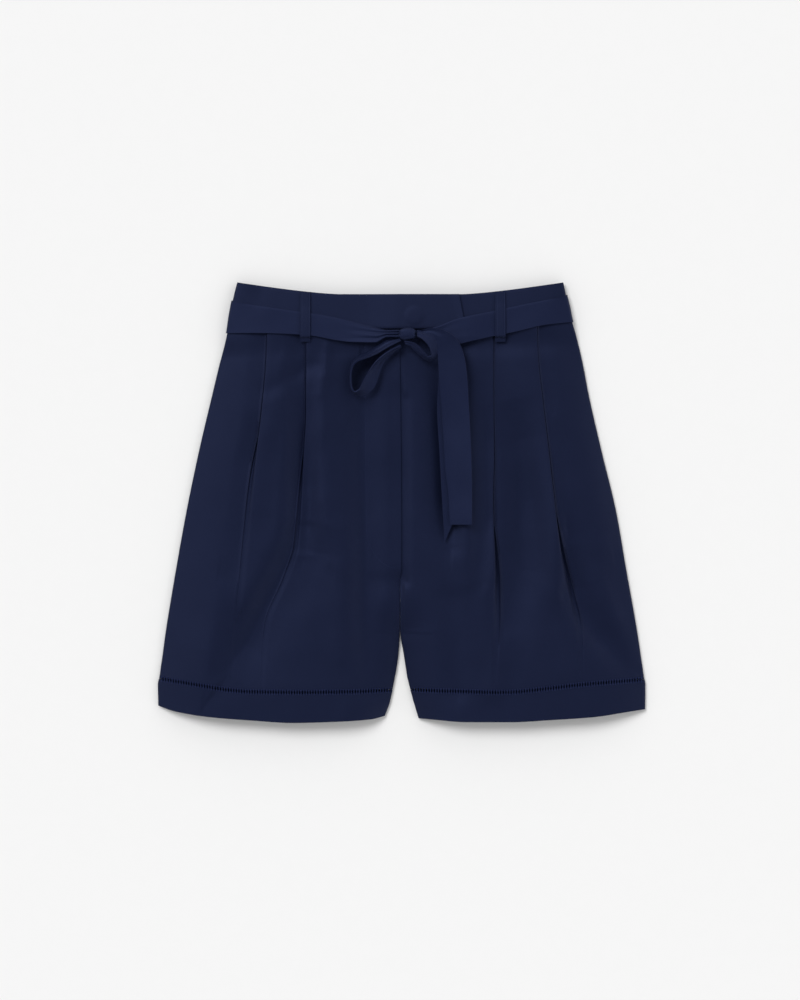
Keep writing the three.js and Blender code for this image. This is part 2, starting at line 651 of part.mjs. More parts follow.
for (const leg of ["right", "left"]) {
  addPiece(`front_${leg}`, frontPanel(leg), COLOURS.cloth);
  addPiece(`back_${leg}`, backPanel(leg), COLOURS.cloth);
  addPiece(`hem_front_${leg}`, frontHem(leg), COLOURS.cloth);
  addPiece(`hem_back_${leg}`, backHem(leg), COLOURS.cloth);
}

// Waistband: a row at each height, with its ends turned round the sides to meet the back
const WAISTBAND_SHARES = steps(0, 1, STEPS.bandRows);
const waistbandY = (x, share) => mix(waistTopY(x), waistSeamY(x) + SEAM_GAP, share);
const sideAt = (leg, heightAt) => settle((y) => heightAt(sideX(leg, y)));

// Places along a front band: closer where it rises from its side turn, and where it steps up
// over the band's other end or down from it
function stations(leg, fromX, toX) {
  const risen = fromX + INWARD[leg] * WAISTBAND_LOFT_WIDTH;
  const stepEnd = leg === "right" ? LAP_RISEN_X : LAP_LEFT_X;
  const stepStart = stepEnd - INWARD[leg] * TAB_RISE_WIDTH;
  return [
    ...steps(fromX, risen, STEPS.bandRise),
    ...steps(risen, stepStart, STEPS.bandMiddle).slice(1),
    mix(stepStart, stepEnd, 0.5),
    stepEnd,
    ...steps(stepEnd, toX, STEPS.bandLap).slice(1),
  ].filter((x) => INWARD[leg] * (toX - x) >= 0);
}

const lapRise = (x) => ease((x - LAP_RISEN_X + TAB_RISE_WIDTH) / TAB_RISE_WIDTH);

function waistbandFront(leg) {
  const grid = WAISTBAND_SHARES.map((share) => {
    const edgeX = sideX(leg, sideAt(leg, (x) => waistbandY(x, share)));
    const endX = leg === "right" ? TAB_TOP_X + TAB_SLANT * WAISTBAND_HEIGHT * share : UNDER_END_X;
    const turn = sideTurn(WAISTBAND_TURN, WAISTBAND, 1);
    const turnEndX = edgeX + INWARD[leg] * turn[turn.length - 1].q;
    const along = stations(leg, turnEndX, endX);
    const turned = turn.slice(0, -1).map((point) => {
      const x = edgeX + INWARD[leg] * point.q;
      const spot = new THREE.Vector3(x, waistbandY(x, share), WAIST_SIDE_Z + point.z);
      return point.turned ? { spot, normal: new THREE.Vector3(-INWARD[leg], 0, 0) } : { spot };
    });
    const laid = along.map((x) => {
      const y = waistbandY(x, share);
      const lap = leg === "right" ? TAB_STEP * lapRise(x) : 0;
      return { spot: new THREE.Vector3(x, y, waistbandZ(x, y) + lap) };
    });
    return [...turned, ...laid];
  });
  return wallGeometry(grid, WAISTBAND);
}

// A band across the back between both side turns, with its rows between two edges
function bandAcrossBack(radius, wall, heightAt, count) {
  const grid = WAISTBAND_SHARES.map((share) => {
    const ends = ["right", "left"].map((leg) => {
      const edgeX = sideX(leg, sideAt(leg, (x) => heightAt(x, share)));
      const centre = WAISTBAND_TURN + WAISTBAND / 2;
      return sideTurn(radius, wall, -1).map((point) => {
        const x = edgeX + INWARD[leg] * (point.q - radius - wall / 2 + centre);
        const spot = new THREE.Vector3(x, heightAt(x, share), WAIST_SIDE_Z + point.z);
        return point.turned ? { spot, normal: new THREE.Vector3(-INWARD[leg], 0, 0) } : { spot };
      });
    });
    const [from, to] = ends.map((end) => end[end.length - 1].spot.x);
    const flat = steps(from, to, count).slice(1, -1);
    const laid = flat.map((x) => ({
      spot: new THREE.Vector3(x, heightAt(x, share), WAIST_SIDE_Z - radius),
    }));
    return [...ends[0], ...laid, ...ends[1].reverse()];
  });
  return wallGeometry(grid, wall);
}

addPiece("waistband_front_right", waistbandFront("right"), COLOURS.cloth);
addPiece("waistband_front_left", waistbandFront("left"), COLOURS.cloth);
addPiece(
  "waistband_back",
  bandAcrossBack(WAISTBAND_TURN, WAISTBAND, waistbandY, STEPS.waistbandBack),
  COLOURS.cloth,
);

// Tie belt
const BELT_LIFT = WAISTBAND / 2 + LAID_GAP + RIBBON / 2;
const tabLift = (x) => TAB_STEP * lapRise(x) * (1 - ease((x - LAP_LEFT_X) / TAB_RISE_WIDTH));
const beltY = (table) => (x, share) =>
  mix(read(table, "x", "top", x), read(table, "x", "bottom", x), share);
const beltZ = (x, y) => waistbandZ(x, y) + BELT_LIFT + tabLift(x);

function beltStrand(leg, table) {
  const heightAt = beltY(table);
  const endX = table[table.length - 1].x;
  const grid = steps(0, 1, STEPS.ribbonAcross + 1).map((share) => {
    const edgeX = sideX(leg, sideAt(leg, (x) => heightAt(x, share)));
    const centre = WAISTBAND_TURN + WAISTBAND / 2;
    const turn = sideTurn(BELT_TURN, RIBBON, 1).map((point) => {
      const x = edgeX + INWARD[leg] * (point.q - BELT_TURN - RIBBON / 2 + centre);
      const spot = new THREE.Vector3(x, heightAt(x, share), WAIST_SIDE_Z + point.z);
      return point.turned ? { spot, normal: new THREE.Vector3(-INWARD[leg], 0, 0) } : { spot };
    });
    const turnEndX = turn[turn.length - 1].spot.x;
    const laid = stations(leg, turnEndX, endX)
      .slice(1)
      .map((x) => {
        const y = heightAt(x, share);
        const bulge = read(table, "x", "crown", x) * (1 - (2 * share - 1) ** 2);
        return { spot: new THREE.Vector3(x, y, beltZ(x, y) + bulge) };
      });
    return [...turn, ...laid];
  });
  return wallGeometry(grid, RIBBON);
}

addPiece("belt_right", beltStrand("right", BELT_RIGHT), COLOURS.belt);
addPiece("belt_left", beltStrand("left", BELT_LEFT), COLOURS.belt);
addPiece(
  "belt_back",
  bandAcrossBack(BELT_TURN, RIBBON, beltY(BELT_BACK), STEPS.beltBack),
  COLOURS.belt,
);

// Belt loops: a strip down each place, over the belt and sewn down below it
function frontLoop(side, middleX) {
  const table = side === "right" ? BELT_RIGHT : BELT_LEFT;
  const onBand = (y) => waistbandZ(middleX, y) + WAISTBAND / 2 + GAP + LOOP_STRIP / 2;
  const beltFace = BELT_LIFT + RIBBON / 2;
  const overBelt = (y) => waistbandZ(middleX, y) + beltFace + LAID_GAP + LOOP_STRIP / 2;
  const pleatTop = PLEATS[side][1][0].radius * 2 + CLOTH / 2;
  const onPanel = (y) => frontZ(side, middleX, y) + pleatTop + GAP + LOOP_STRIP / 2;
  const beltTop = read(table, "x", "top", middleX) + LOOP_ABOVE_BELT;
  const beltFoot = read(table, "x", "bottom", middleX) - LOOP_BELOW_BELT;
  const middleY = mix(beltTop, beltFoot, 0.5);
  const landing = beltFoot - 2 * LOOP_BEND;
  const top = waistTopY(middleX) - LOOP_TOP_INSET;
  const profile = [
    [top, onBand(top)],
    [beltTop + 2 * LOOP_BEND, onBand(beltTop)],
    [beltTop - LOOP_BEND, overBelt(beltTop)],
    [middleY, overBelt(middleY) + LOOP_CROWN],
    [beltFoot + LOOP_BEND, overBelt(beltFoot)],
    [landing, onPanel(landing) + LOOP_CROWN],
    [LOOP_FOOT_Y, onPanel(LOOP_FOOT_Y)],
  ];
  return stripAcross(middleX, profile);
}

function backLoop(middleX) {
  const top = waistTopY(middleX) - LOOP_TOP_INSET;
  const beltTop = beltY(BELT_BACK)(middleX, 0);
  const flatZ = LOOP_STRIP / 2;
  const raised = WAISTBAND_BACK_Z - WAISTBAND / 2 - GAP - LOOP_STRIP / 2;
  const profile = [
    [top, raised],
    [beltTop + 3 * LOOP_BEND, raised],
    [beltTop + LOOP_BEND, flatZ],
    [BACK_LOOP_FOOT_Y, flatZ],
  ];
  return stripAcross(middleX, profile);
}

function stripAcross(middleX, profile) {
  const half = LOOP_WIDTH / 2;
  const grid = [-half, half].map((out) =>
    profile.map(([y, z]) => ({ spot: new THREE.Vector3(middleX + out, y, z) })),
  );
  return wallGeometry(grid, LOOP_STRIP);
}

for (const { side, x } of FRONT_LOOPS) {
  addPiece(`belt_loop_front_${side}`, frontLoop(side, x), COLOURS.cloth);
}
BACK_LOOPS_X.forEach((x, index) => {
  addPiece(`belt_loop_back_${index + 1}`, backLoop(x), COLOURS.cloth);
});

// Knot: a ball, flattened and squared off a little
function knotGeometry() {
  const faceted = new THREE.IcosahedronGeometry(1, STEPS.knotDetail);
  const ball = mergeVertices(faceted.deleteAttribute("normal").deleteAttribute("uv"));
  const position = ball.getAttribute("position");
  const square = (value) => Math.sign(value) * Math.abs(value) ** KNOT_SQUARENESS;
  for (let index = 0; index < position.count; index += 1) {
    position.setXYZ(
      index,
      KNOT.x + KNOT.rx * square(position.getX(index)),
      KNOT.y + KNOT.ry * square(position.getY(index)),
      KNOT.z + KNOT.rz * square(position.getZ(index)),
    );
  }
  return ball;
}

// A ribbon between the two edges that a table gives
function ribbonGeometry(table, edges, between) {
  const last = table.length - 1;
  const fine = steps(0, last, last * between);
  const numbered = table.map((row, index) => ({ ...row, index }));
  const grid = steps(0, 1, STEPS.ribbonAcross).map((share) =>
    fine.map((at) => ({ spot: edges((column) => read(numbered, "index", column, at), share) })),
  );
  return wallGeometry(grid, RIBBON);
}

const bowEdges = (value, share) =>
  new THREE.Vector3(
    mix(value("x"), value("footX"), share),
    mix(value("y"), value("footY"), share),
    mix(value("z"), value("footZ"), share),
  );

// Height of a hanging end: over the belt at its top, and on the panel below the belt
function tailEdges(layer) {
  return (value, share) => {
    const x = mix(value("lx"), value("rx"), share);
    const y = mix(value("ly"), value("ry"), share);
    const onBelt = waistbandZ(x, y) + BELT_LIFT + TAB_STEP + RIBBON / 2;
    const onPanel = frontZ("left", x, y) + CLOTH / 2;
    const base = mix(onPanel, onBelt, ease((y - TAIL_SETTLE_FOOT) / (TAIL_SETTLE_TOP - TAIL_SETTLE_FOOT)));
    return new THREE.Vector3(x, y, base + GAP + RIBBON / 2 + layer * (RIBBON + LAID_GAP));
  };
}

addPiece("belt_knot", knotGeometry(), COLOURS.belt);
addPiece("bow_loop_right", ribbonGeometry(BOW_RIGHT, bowEdges, STEPS.bowRight), COLOURS.belt);
addPiece("bow_loop_left", ribbonGeometry(BOW_LEFT, bowEdges, STEPS.bowLeft), COLOURS.belt);
addPiece("belt_end_back", ribbonGeometry(TAIL_BACK, tailEdges(0), STEPS.tail), COLOURS.belt);
addPiece("belt_end_front", ribbonGeometry(TAIL_FRONT, tailEdges(1), STEPS.tail), COLOURS.belt);

export default garment;
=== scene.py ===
# %% [markdown]
# # A pair of pleated shorts with a tie belt, laid flat
# The shorts lie on a pale surface with their front upwards. Every piece of cloth is a surface
# worked out with numpy: a function of two numbers, one across the piece and one down it, gives a
# point of the cloth. A second step gives that surface its thickness. The same sizes as in the
# model of the solids are used, in millimetres, and each piece is made in metres at the end.

import math

import bpy
import numpy as np
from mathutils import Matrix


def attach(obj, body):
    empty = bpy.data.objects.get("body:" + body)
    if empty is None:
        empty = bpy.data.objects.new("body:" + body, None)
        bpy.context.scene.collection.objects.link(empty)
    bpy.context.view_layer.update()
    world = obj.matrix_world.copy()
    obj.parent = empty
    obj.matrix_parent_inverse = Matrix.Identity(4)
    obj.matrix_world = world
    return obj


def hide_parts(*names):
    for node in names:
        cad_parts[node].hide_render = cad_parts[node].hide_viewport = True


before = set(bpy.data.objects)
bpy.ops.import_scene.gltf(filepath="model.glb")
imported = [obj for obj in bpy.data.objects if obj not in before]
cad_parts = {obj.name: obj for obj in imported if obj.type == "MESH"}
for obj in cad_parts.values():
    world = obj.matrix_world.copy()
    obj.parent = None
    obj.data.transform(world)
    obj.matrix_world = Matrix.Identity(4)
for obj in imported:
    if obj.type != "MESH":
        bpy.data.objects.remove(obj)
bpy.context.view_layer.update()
print("nodes in the frame:", len(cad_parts))

# %% [markdown]
# ## Camera
# The picture was taken from straight above, so the camera looks down its own axis and is not
# turned at all. It stands high, as a long lens would, which keeps the sides of the garment from
# spreading. The lens follows from the size of the picture: 1000 pixels high, 1.064 mm to a pixel.

# %% Camera
MM = 0.001
MM_PER_PIXEL = 1.064
PICTURE_HEIGHT = 1000
CAMERA_HEIGHT = 3200.0
CLOTH_LEVEL = 8.0
PICTURE_CENTRE = (-1.6, 2.4)

camera_data = bpy.data.cameras.new("camera")
camera_data.sensor_width = 36.0
field = PICTURE_HEIGHT * MM_PER_PIXEL
camera_data.lens = camera_data.sensor_width * (CAMERA_HEIGHT - CLOTH_LEVEL) / field
camera = bpy.data.objects.new("camera", camera_data)
camera.location = (PICTURE_CENTRE[0] * MM, PICTURE_CENTRE[1] * MM, CAMERA_HEIGHT * MM)
bpy.context.scene.collection.objects.link(camera)
bpy.context.scene.camera = camera
print("lens in mm:", round(camera_data.lens, 1))

# %% [markdown]
# ## Tables and smooth steps
# The outline of a sewn piece is a long soft curve. It could be a Bezier curve drawn by hand, but
# a short table of places with a smooth reading between them is easier to check against sizes,
# and numpy can read a whole grid of places at once.

# %% Tables and smooth steps
def table(columns, *rows):
    """Named columns of numbers, with the rows put in order of the first column."""
    ordered = np.array(sorted(rows), dtype=float)
    return dict(zip(columns.split(), ordered.T))


def read(data, column, at):
    """A smooth reading of one column at values of the first column. Between two rows it is the
    cubic that has the mean slope of the neighbouring stretches at each row, or none where the
    column turns back. Outside the table it keeps the last value."""
    places = next(iter(data.values()))
    values = data[column]
    step = np.diff(values) / np.diff(places)
    product = step[:-1] * step[1:]
    total = np.where(product > 0, step[:-1] + step[1:], 1.0)
    slopes = np.concatenate([step[:1], np.where(product > 0, 2 * product / total, 0), step[-1:]])
    at = np.clip(at, places[0], places[-1])
    low = np.clip(np.searchsorted(places, at, side="right") - 1, 0, len(places) - 2)
    span = places[low + 1] - places[low]
    t = (at - places[low]) / span
    rise = values[low + 1] - values[low]
    start = slopes[low] * span
    end = slopes[low + 1] * span
    return (
        values[low]
        + t * start
        + t**2 * (3 * rise - 2 * start - end)
        + t**3 * (start + end - 2 * rise)
    )


def ease(share):
    """A smooth step from 0 to 1: three times the square less twice the cube."""
    share = np.clip(share, 0, 1)
    return share * share * (3 - 2 * share)


def mix(a, b, share):
    """The value that lies a share of the way from a to b."""
    return a + (b - a) * share


def settle(step, count):
    """Repeats a slowly changing step until it gives back what it was given."""
    value = np.zeros(count)
    for _ in range(16):
        value = step(value)
    return value


INWARD = {"right": 1, "left": -1}
print("smooth step at a quarter:", round(float(ease(0.25)), 3))

# %% [markdown]
# ## Outline
# Left and right are the wearer's. The wearer's right leg lies at -X, on the left of the picture.
# The tables hold the side seams, the middle line with the inner legs, the ladder stitch line and
# the lower edge of the hem. The waist edge is a dip between two raised sides, so it has a formula.

# %% Outline
CLOTH = 1.1
WAISTBAND = 1.6
RIBBON = 1.2
LOOP_STRIP = 1.0
HEM = 1.4
GAP = 0.3
LAID_GAP = 0.5
WAISTBAND_HEIGHT = 37.0
SEAM_GAP = 0.6
CROTCH_Y = -138.6

SIDES = table(
    "y right left",
    (234, -175, 172.4),
    (221.6, -178.2, 175),
    (208.9, -180.9, 178),
    (196.1, -183.2, 180.6),
    (183.3, -185, 184.4),
    (170.6, -187.7, 187.9),
    (145, -194.5, 193.8),
    (119.5, -200.6, 198.5),
    (55.6, -215.7, 213),
    (-8.2, -229, 228.4),
    (-72, -240.5, 239.6),
    (-135.9, -251.1, 250.9),
    (-186, -258.1, 258.4),
    (-194, -259.6, 259.8),
    (-222, -259, 259.6),
)
INNER = table(
    "y right left",
    (200, -3.7, -3.7),
    (-22.8, -1.6, -1.6),
    (-138.6, -1.8, -1.4),
    (-161.4, -3, 2.1),
    (-186.9, -7, 6.2),
    (-212.5, -12.3, 12.9),
    (-230, -18.6, 18.1),
)
HEM_LINE = table(
    "x right left",
    (0, -199.8, -199.2),
    (60, -201.3, -200.9),
    (108, -201.8, -201.8),
    (161, -201.2, -197.2),
    (182, -199.6, -194.6),
    (214, -194.4, -191.8),
    (262, -187.4, -188.6),
)
HEM_EDGE = table(
    "x right left",
    (15, -226.6, -229.8),
    (33, -230.8, -231),
    (71, -233, -233.4),
    (115, -234.2, -233.4),
    (160, -231.6, -231.1),
    (205, -228, -228),
    (242, -222.2, -222.8),
    (262, -215.4, -220.2),
)


def side_x(leg, y):
    """The side seam's distance from the middle, read from its table."""
    return read(SIDES, leg, y)


def inner_x(leg, y):
    """The middle line or inner leg, half a gap back from where the two sides meet."""
    return read(INNER, leg, y) - INWARD[leg] * GAP / 2


def waist_top_y(x):
    """The waist edge: flat in the middle, then rising to the sides as a power of the distance."""
    out = np.abs(x + 1.3) / 173.7
    share = np.clip((out - 0.38) / 0.62, 0, 1)
    return 234 - 12.9 * (1 - share**1.35)


def waist_seam_y(x):
    """The seam below the waistband, one band's height under the waist edge."""
    return waist_top_y(x) - WAISTBAND_HEIGHT


def hem_line_y(leg, x):
    """The ladder stitch line above the hem band."""
    return read(HEM_LINE, leg, np.abs(x))


def hem_edge_y(leg, x):
    """The lower edge of the hem band."""
    return read(HEM_EDGE, leg, np.abs(x))


print("waist edge in the middle and at a side:", waist_top_y(0.0), waist_top_y(-175.0).round(1))

# %% [markdown]
# ## Height of the laid cloth
# Cloth that lies on a table is never flat: the front domes up over the air inside and comes down
# to a soft turn at the side seams. The dome is a product of two rounded rises, one from the side
# and one from the middle below the crotch. Creases are then taken from it or added to it. Each is
# a soft ridge or trough along a line, with a width of its own on either side. A last few long
# waves keep it from looking machined. A cloth simulation could give such waves too, but the
# creases in the picture have known places, so they are listed one by one.

# %% Height of the laid cloth
PANEL_TURN = 0.8 + CLOTH / 2
PANEL_SIDE_Z = PANEL_TURN + CLOTH / 2
BELT_BACK_Z = LOOP_STRIP + GAP + RIBBON / 2
WAISTBAND_BACK_Z = BELT_BACK_Z + RIBBON / 2 + GAP + WAISTBAND / 2
WAISTBAND_TURN = 0.8 + WAISTBAND / 2
WAIST_SIDE_Z = WAISTBAND_BACK_Z + WAISTBAND_TURN
BELT_TURN = WAISTBAND_TURN + WAISTBAND / 2 + GAP + RIBBON / 2
LOFT = table(
    "y height width",
    (240, 4.2, 44),
    (180, 4.2, 44),
    (150, 7.6, 52),
    (90, 9, 60),
    (0, 10, 66),
    (-110, 11, 70),
    (-200, 13, 80),
    (-240, 14, 80),
)
# Ridges (positive) and troughs (negative), each a line of (x, y, height) places with its width
# towards the wearer's right and towards the wearer's left
CREASES = [
    # beside the wearer's right inner pleat
    ([
        (-102, 114, -0.6), (-101, 77, -3.8), (-101, 19, -7), (-102, -25, -6.7), (-104, -57, -0.9),
    ], 15, 11),
    # from its foot down to the side seam
    ([
        (-103, -19, -0.6), (-109, -49, -4.3), (-123, -72, -6.1), (-142, -107, -6.7),
        (-164, -152, -6.1), (-185, -181, -2.6),
    ], 14, 34),
    # between that pleat and the fly
    ([
        (-43, 139, -2.9), (-41, 88, -5.2), (-39, 2, -6.4), (-38, -83, -6.1), (-37, -147, -5.5),
        (-31, -200, -2.3),
    ], 14, 20),
    # the cloth's rise before the inner pleat
    ([
        (-131, 151, 1), (-127, 77, 2.9), (-125, -19, 3.4), (-144, -61, 2.2), (-165, -104, 1.9),
    ], 22, 12),
    # beyond that pleat
    ([(-82, 130, 1.4), (-82, 77, 2.4), (-82, 2, 2.4), (-74, -61, 1.2)], 9, 16),
    # at the fly's edge
    ([(2, 109, -2), (2, 24, -3.5), (2, -83, -2.9)], 16, 6),
    # beside the hanging ends, on the fly's side
    ([(39, 139, -2.6), (47, 77, -7), (51, 2, -7.8), (53, -45, -2.6)], 17, 12),
    # under the hanging ends
    ([(64, 141, 1.2), (66, 56, 2.9), (69, -19, 3.1), (71, -83, 1.2)], 12, 9),
    # beyond the hanging ends
    ([(86, 130, -0.6), (90, 66, -4.3), (92, -19, -4.9), (88, -83, -1.2)], 12, 9),
    # beyond the wearer's left inner pleat
    ([
        (113, 109, -0.6), (123, 66, -4.6), (127, 2, -7), (126, -72, -7.2), (120, -125, -4.1),
        (113, -173, -1.2),
    ], 20, 22),
    # before the wearer's left outer pleat
    ([(160, 88, 0.7), (165, 2, 2.2), (168, -45, 3.1), (169, -88, 2.6)], 18, 8),
    # from the foot of that pleat to the side seam
    ([
        (176, -45, -2), (180, -91, -7), (191, -117, -7.2), (211, -144, -7), (241, -174, -4.1),
    ], 12, 24),
    # above that trough
    ([(209, -77, 1.4), (229, -123, 3.8), (251, -162, 3.4)], 14, 10),
    # along the wearer's left side seam
    ([(196, 119, 1.9), (211, 34, 4.1), (223, -40, 3.6)], 20, 13),
    # along the wearer's right side seam, near the hem
    ([(-197, -93, 1), (-206, -157, 2.4), (-209, -191, 1.4)], 24, 13),
    # inside the wearer's right leg
    ([(-61, -29, 1.2), (-62, -104, 2.2), (-65, -162, 1.2)], 16, 13),
    # at the crotch
    ([(-3, -83, -2), (-2, -134, -3.2)], 10, 10),
    # a short pull below the belt loop
    ([(-79, 166, 1.1), (-86, 115, 0.6)], 5, 5),
    # a pull from the belt loop to the outer pleat
    ([(-95, 147, -1.7), (-140, 119, -1.2)], 9, 9),
    # inside the wearer's left leg
    ([(52, -104, -1.4), (60, -200, -2.3)], 15, 13),
    # a slack fold above the hem
    ([(110, -147, 1.2), (96, -200, 1.4)], 12, 12),
]
# Long waves: length in mm, direction in degrees, start in turns, height
WAVES = np.array([
    (150, 20, 0.1, 0.22),
    (96, 74, 0.6, 0.16),
    (61, 138, 0.3, 0.1),
    (38, 101, 0.8, 0.05),
    (29, 12, 0.45, 0.035),
    (17, 160, 0.2, 0.018),
])


def rounded(distance, width):
    """A rise from 0 at an edge to 1 at a width in, steep first and level at its end."""
    return 1 - (1 - np.clip(distance / width, 0, 1)) ** 2.2


def turn_z(x, y):
    """The height of the side turn: low on the legs, lifted by the layers behind the waist."""
    down = 184 + 0.033 * x - y
    return PANEL_SIDE_Z + (WAIST_SIDE_Z - PANEL_SIDE_Z) * (1 - ease(down / 26))


def crease(x, y, line, right_width, left_width):
    """One ridge or trough: at each place the nearest point of the line gives its height, which
    fades as a bell curve of the distance, with a width of its own on either side."""
    best = np.full(np.broadcast(x, y).shape, np.inf)
    height = np.zeros_like(best)
    side = np.zeros_like(best)
    for (x1, y1, h1), (x2, y2, h2) in zip(line[:-1], line[1:]):
        dx, dy = x2 - x1, y2 - y1
        along = np.clip(((x - x1) * dx + (y - y1) * dy) / (dx * dx + dy * dy), 0, 1)
        off_x, off_y = x - x1 - along * dx, y - y1 - along * dy
        away = np.hypot(off_x, off_y)
        nearer = away < best
        best = np.where(nearer, away, best)
        height = np.where(nearer, mix(h1, h2, along), height)
        side = np.where(nearer, np.sign(off_x - off_y * dx / dy), side)
    width = np.where(side < 0, right_width, left_width)
    return height * np.exp(-((best / width) ** 2))


def creases(x, y):
    """The sum of all ridges and troughs."""
    return sum(crease(x, y, *row) for row in CREASES)


def waves(x, y):
    """The sum of a few sine waves that run in different directions."""
    total = np.zeros(np.broadcast(x, y).shape)
    for length, degrees, start, height in WAVES:
        turn = math.radians(degrees)
        run = (x * math.cos(turn) + y * math.sin(turn)) / length
        total += height * np.sin(2 * math.pi * (run + start))
    return total


def loft(leg, x, y):
    """The front's height above its side turn: the dome times its height with the creases."""
    from_side = np.abs(x - side_x(leg, y)) - PANEL_TURN
    below = np.abs(x - inner_x(leg, y)) - PANEL_TURN
    above = np.hypot(x - inner_x(leg, CROTCH_Y), y - CROTCH_Y)
    from_inner = np.where(y < CROTCH_Y, below, above)
    dome = rounded(from_side, read(LOFT, "width", y)) * rounded(from_inner, 48)
    height = read(LOFT, "height", y) + creases(x, y) + waves(x, y)
    return np.maximum(dome, 0) * np.maximum(height, 0)


def front_z(leg, x, y):
    """The middle of the front's wall, where it has no pleat."""
    return turn_z(x, y) + PANEL_TURN + loft(leg, x, y)


def leg_at(x):
    """True where a place lies on the wearer's right half."""
    return x < -3.7


def waistband_z(x, y):
    """The middle of the front waistband: its turn, a rounded rise from either side, and a lean
    that lowers its upper edge."""
    edge = np.where(leg_at(x), side_x("right", y), side_x("left", y))
    from_side = np.abs(x - edge) - WAISTBAND_TURN
    lean = -0.085 * np.clip(y - 186, -10, 60) * ease(from_side / 30)
    return WAIST_SIDE_Z + WAISTBAND_TURN + 5.2 * rounded(from_side, 44) + lean


print("front's height at the hem:", round(float(front_z("right", -130.0, -225.0)), 1), "mm")

# %% [markdown]
# ## Colour and cloth
# The cloth is a matte navy twill with a soft drape. Its weave is too fine to see at arm's length,
# but it breaks up the light, so the threads are made as relief and as a faint change of tone.
# An image of cloth would repeat and would need a file, so the weave is worked out in nodes from
# the piece's own UV map, which holds real distances along the cloth in metres. One node group
# makes the weave and the uneven dye for every cloth here.

# %% Weave node group
def math_node(nodes, operation, value=0.5):
    """A math node with its second number already set."""
    node = nodes.new("ShaderNodeMath")
    node.operation = operation
    node.inputs[1].default_value = value
    return node


def build_weave():
    """A group that turns a place on the cloth into relief and tone. Twill is a wave that runs
    across the sum of the two thread directions, and the threads are a finer wave across it.
    Slubs and dye are noise, stretched along the cloth for the slubs."""
    group = bpy.data.node_groups.new("twill_weave", "ShaderNodeTree")
    face = group.interface
    face.new_socket(name="Place", in_out="INPUT", socket_type="NodeSocketVector")
    face.new_socket(name="Threads per metre", in_out="INPUT", socket_type="NodeSocketFloat")
    face.new_socket(name="Dye", in_out="INPUT", socket_type="NodeSocketFloat")
    face.new_socket(name="Relief", in_out="OUTPUT", socket_type="NodeSocketFloat")
    face.new_socket(name="Tone", in_out="OUTPUT", socket_type="NodeSocketFloat")
    nodes, links = group.nodes, group.links
    source = nodes.new("NodeGroupInput")
    result = nodes.new("NodeGroupOutput")
    split = nodes.new("ShaderNodeSeparateXYZ")
    links.new(source.outputs["Place"], split.inputs[0])

    def wave(first, second, factor):
        """Half of one plus the sine of the threads counted along two directions."""
        across = math_node(nodes, "MULTIPLY", first)
        down = math_node(nodes, "MULTIPLY", second)
        both = math_node(nodes, "ADD")
        count = math_node(nodes, "MULTIPLY")
        turns = math_node(nodes, "MULTIPLY", 2 * math.pi * factor)
        sine = math_node(nodes, "SINE")
        half = math_node(nodes, "MULTIPLY_ADD")
        half.inputs[2].default_value = 0.5
        links.new(split.outputs[0], across.inputs[0])
        links.new(split.outputs[1], down.inputs[0])
        links.new(across.outputs[0], both.inputs[0])
        links.new(down.outputs[0], both.inputs[1])
        links.new(both.outputs[0], count.inputs[0])
        links.new(source.outputs["Threads per metre"], count.inputs[1])
        links.new(count.outputs[0], turns.inputs[0])
        links.new(turns.outputs[0], sine.inputs[0])
        links.new(sine.outputs[0], half.inputs[0])
        return half

    twill = wave(1.0, 1.0, 0.5)
    thread = wave(1.0, -0.35, 1.0)
    product = math_node(nodes, "MULTIPLY")
    links.new(twill.outputs[0], product.inputs[0])
    links.new(thread.outputs[0], product.inputs[1])

    stretch = nodes.new("ShaderNodeMapping")
    stretch.inputs["Scale"].default_value = (1.0, 0.16, 1.0)
    slub = nodes.new("ShaderNodeTexNoise")
    slub.inputs["Scale"].default_value = 900.0
    slub.inputs["Detail"].default_value = 2.0
    links.new(source.outputs["Place"], stretch.inputs["Vector"])
    links.new(stretch.outputs["Vector"], slub.inputs["Vector"])
    dye = nodes.new("ShaderNodeTexNoise")
    dye.inputs["Scale"].default_value = 24.0
    dye.inputs["Detail"].default_value = 3.0
    links.new(source.outputs["Place"], dye.inputs["Vector"])

    relief = math_node(nodes, "MULTIPLY_ADD", 0.5)
    links.new(slub.outputs["Fac"], relief.inputs[0])
    links.new(product.outputs[0], relief.inputs[2])
    links.new(relief.outputs[0], result.inputs["Relief"])

    uneven = math_node(nodes, "MULTIPLY")
    links.new(dye.outputs["Fac"], uneven.inputs[0])
    links.new(source.outputs["Dye"], uneven.inputs[1])
    fine = math_node(nodes, "MULTIPLY_ADD", 0.3)
    links.new(slub.outputs["Fac"], fine.inputs[0])
    links.new(uneven.outputs[0], fine.inputs[2])
    tone = math_node(nodes, "MULTIPLY_ADD", 0.25)
    links.new(product.outputs[0], tone.inputs[0])
    links.new(fine.outputs[0], tone.inputs[2])
    links.new(tone.outputs[0], result.inputs["Tone"])
    return group


WEAVE = build_weave()
print("weave group's outputs:", [item.name for item in WEAVE.interface.items_tree][-2:])


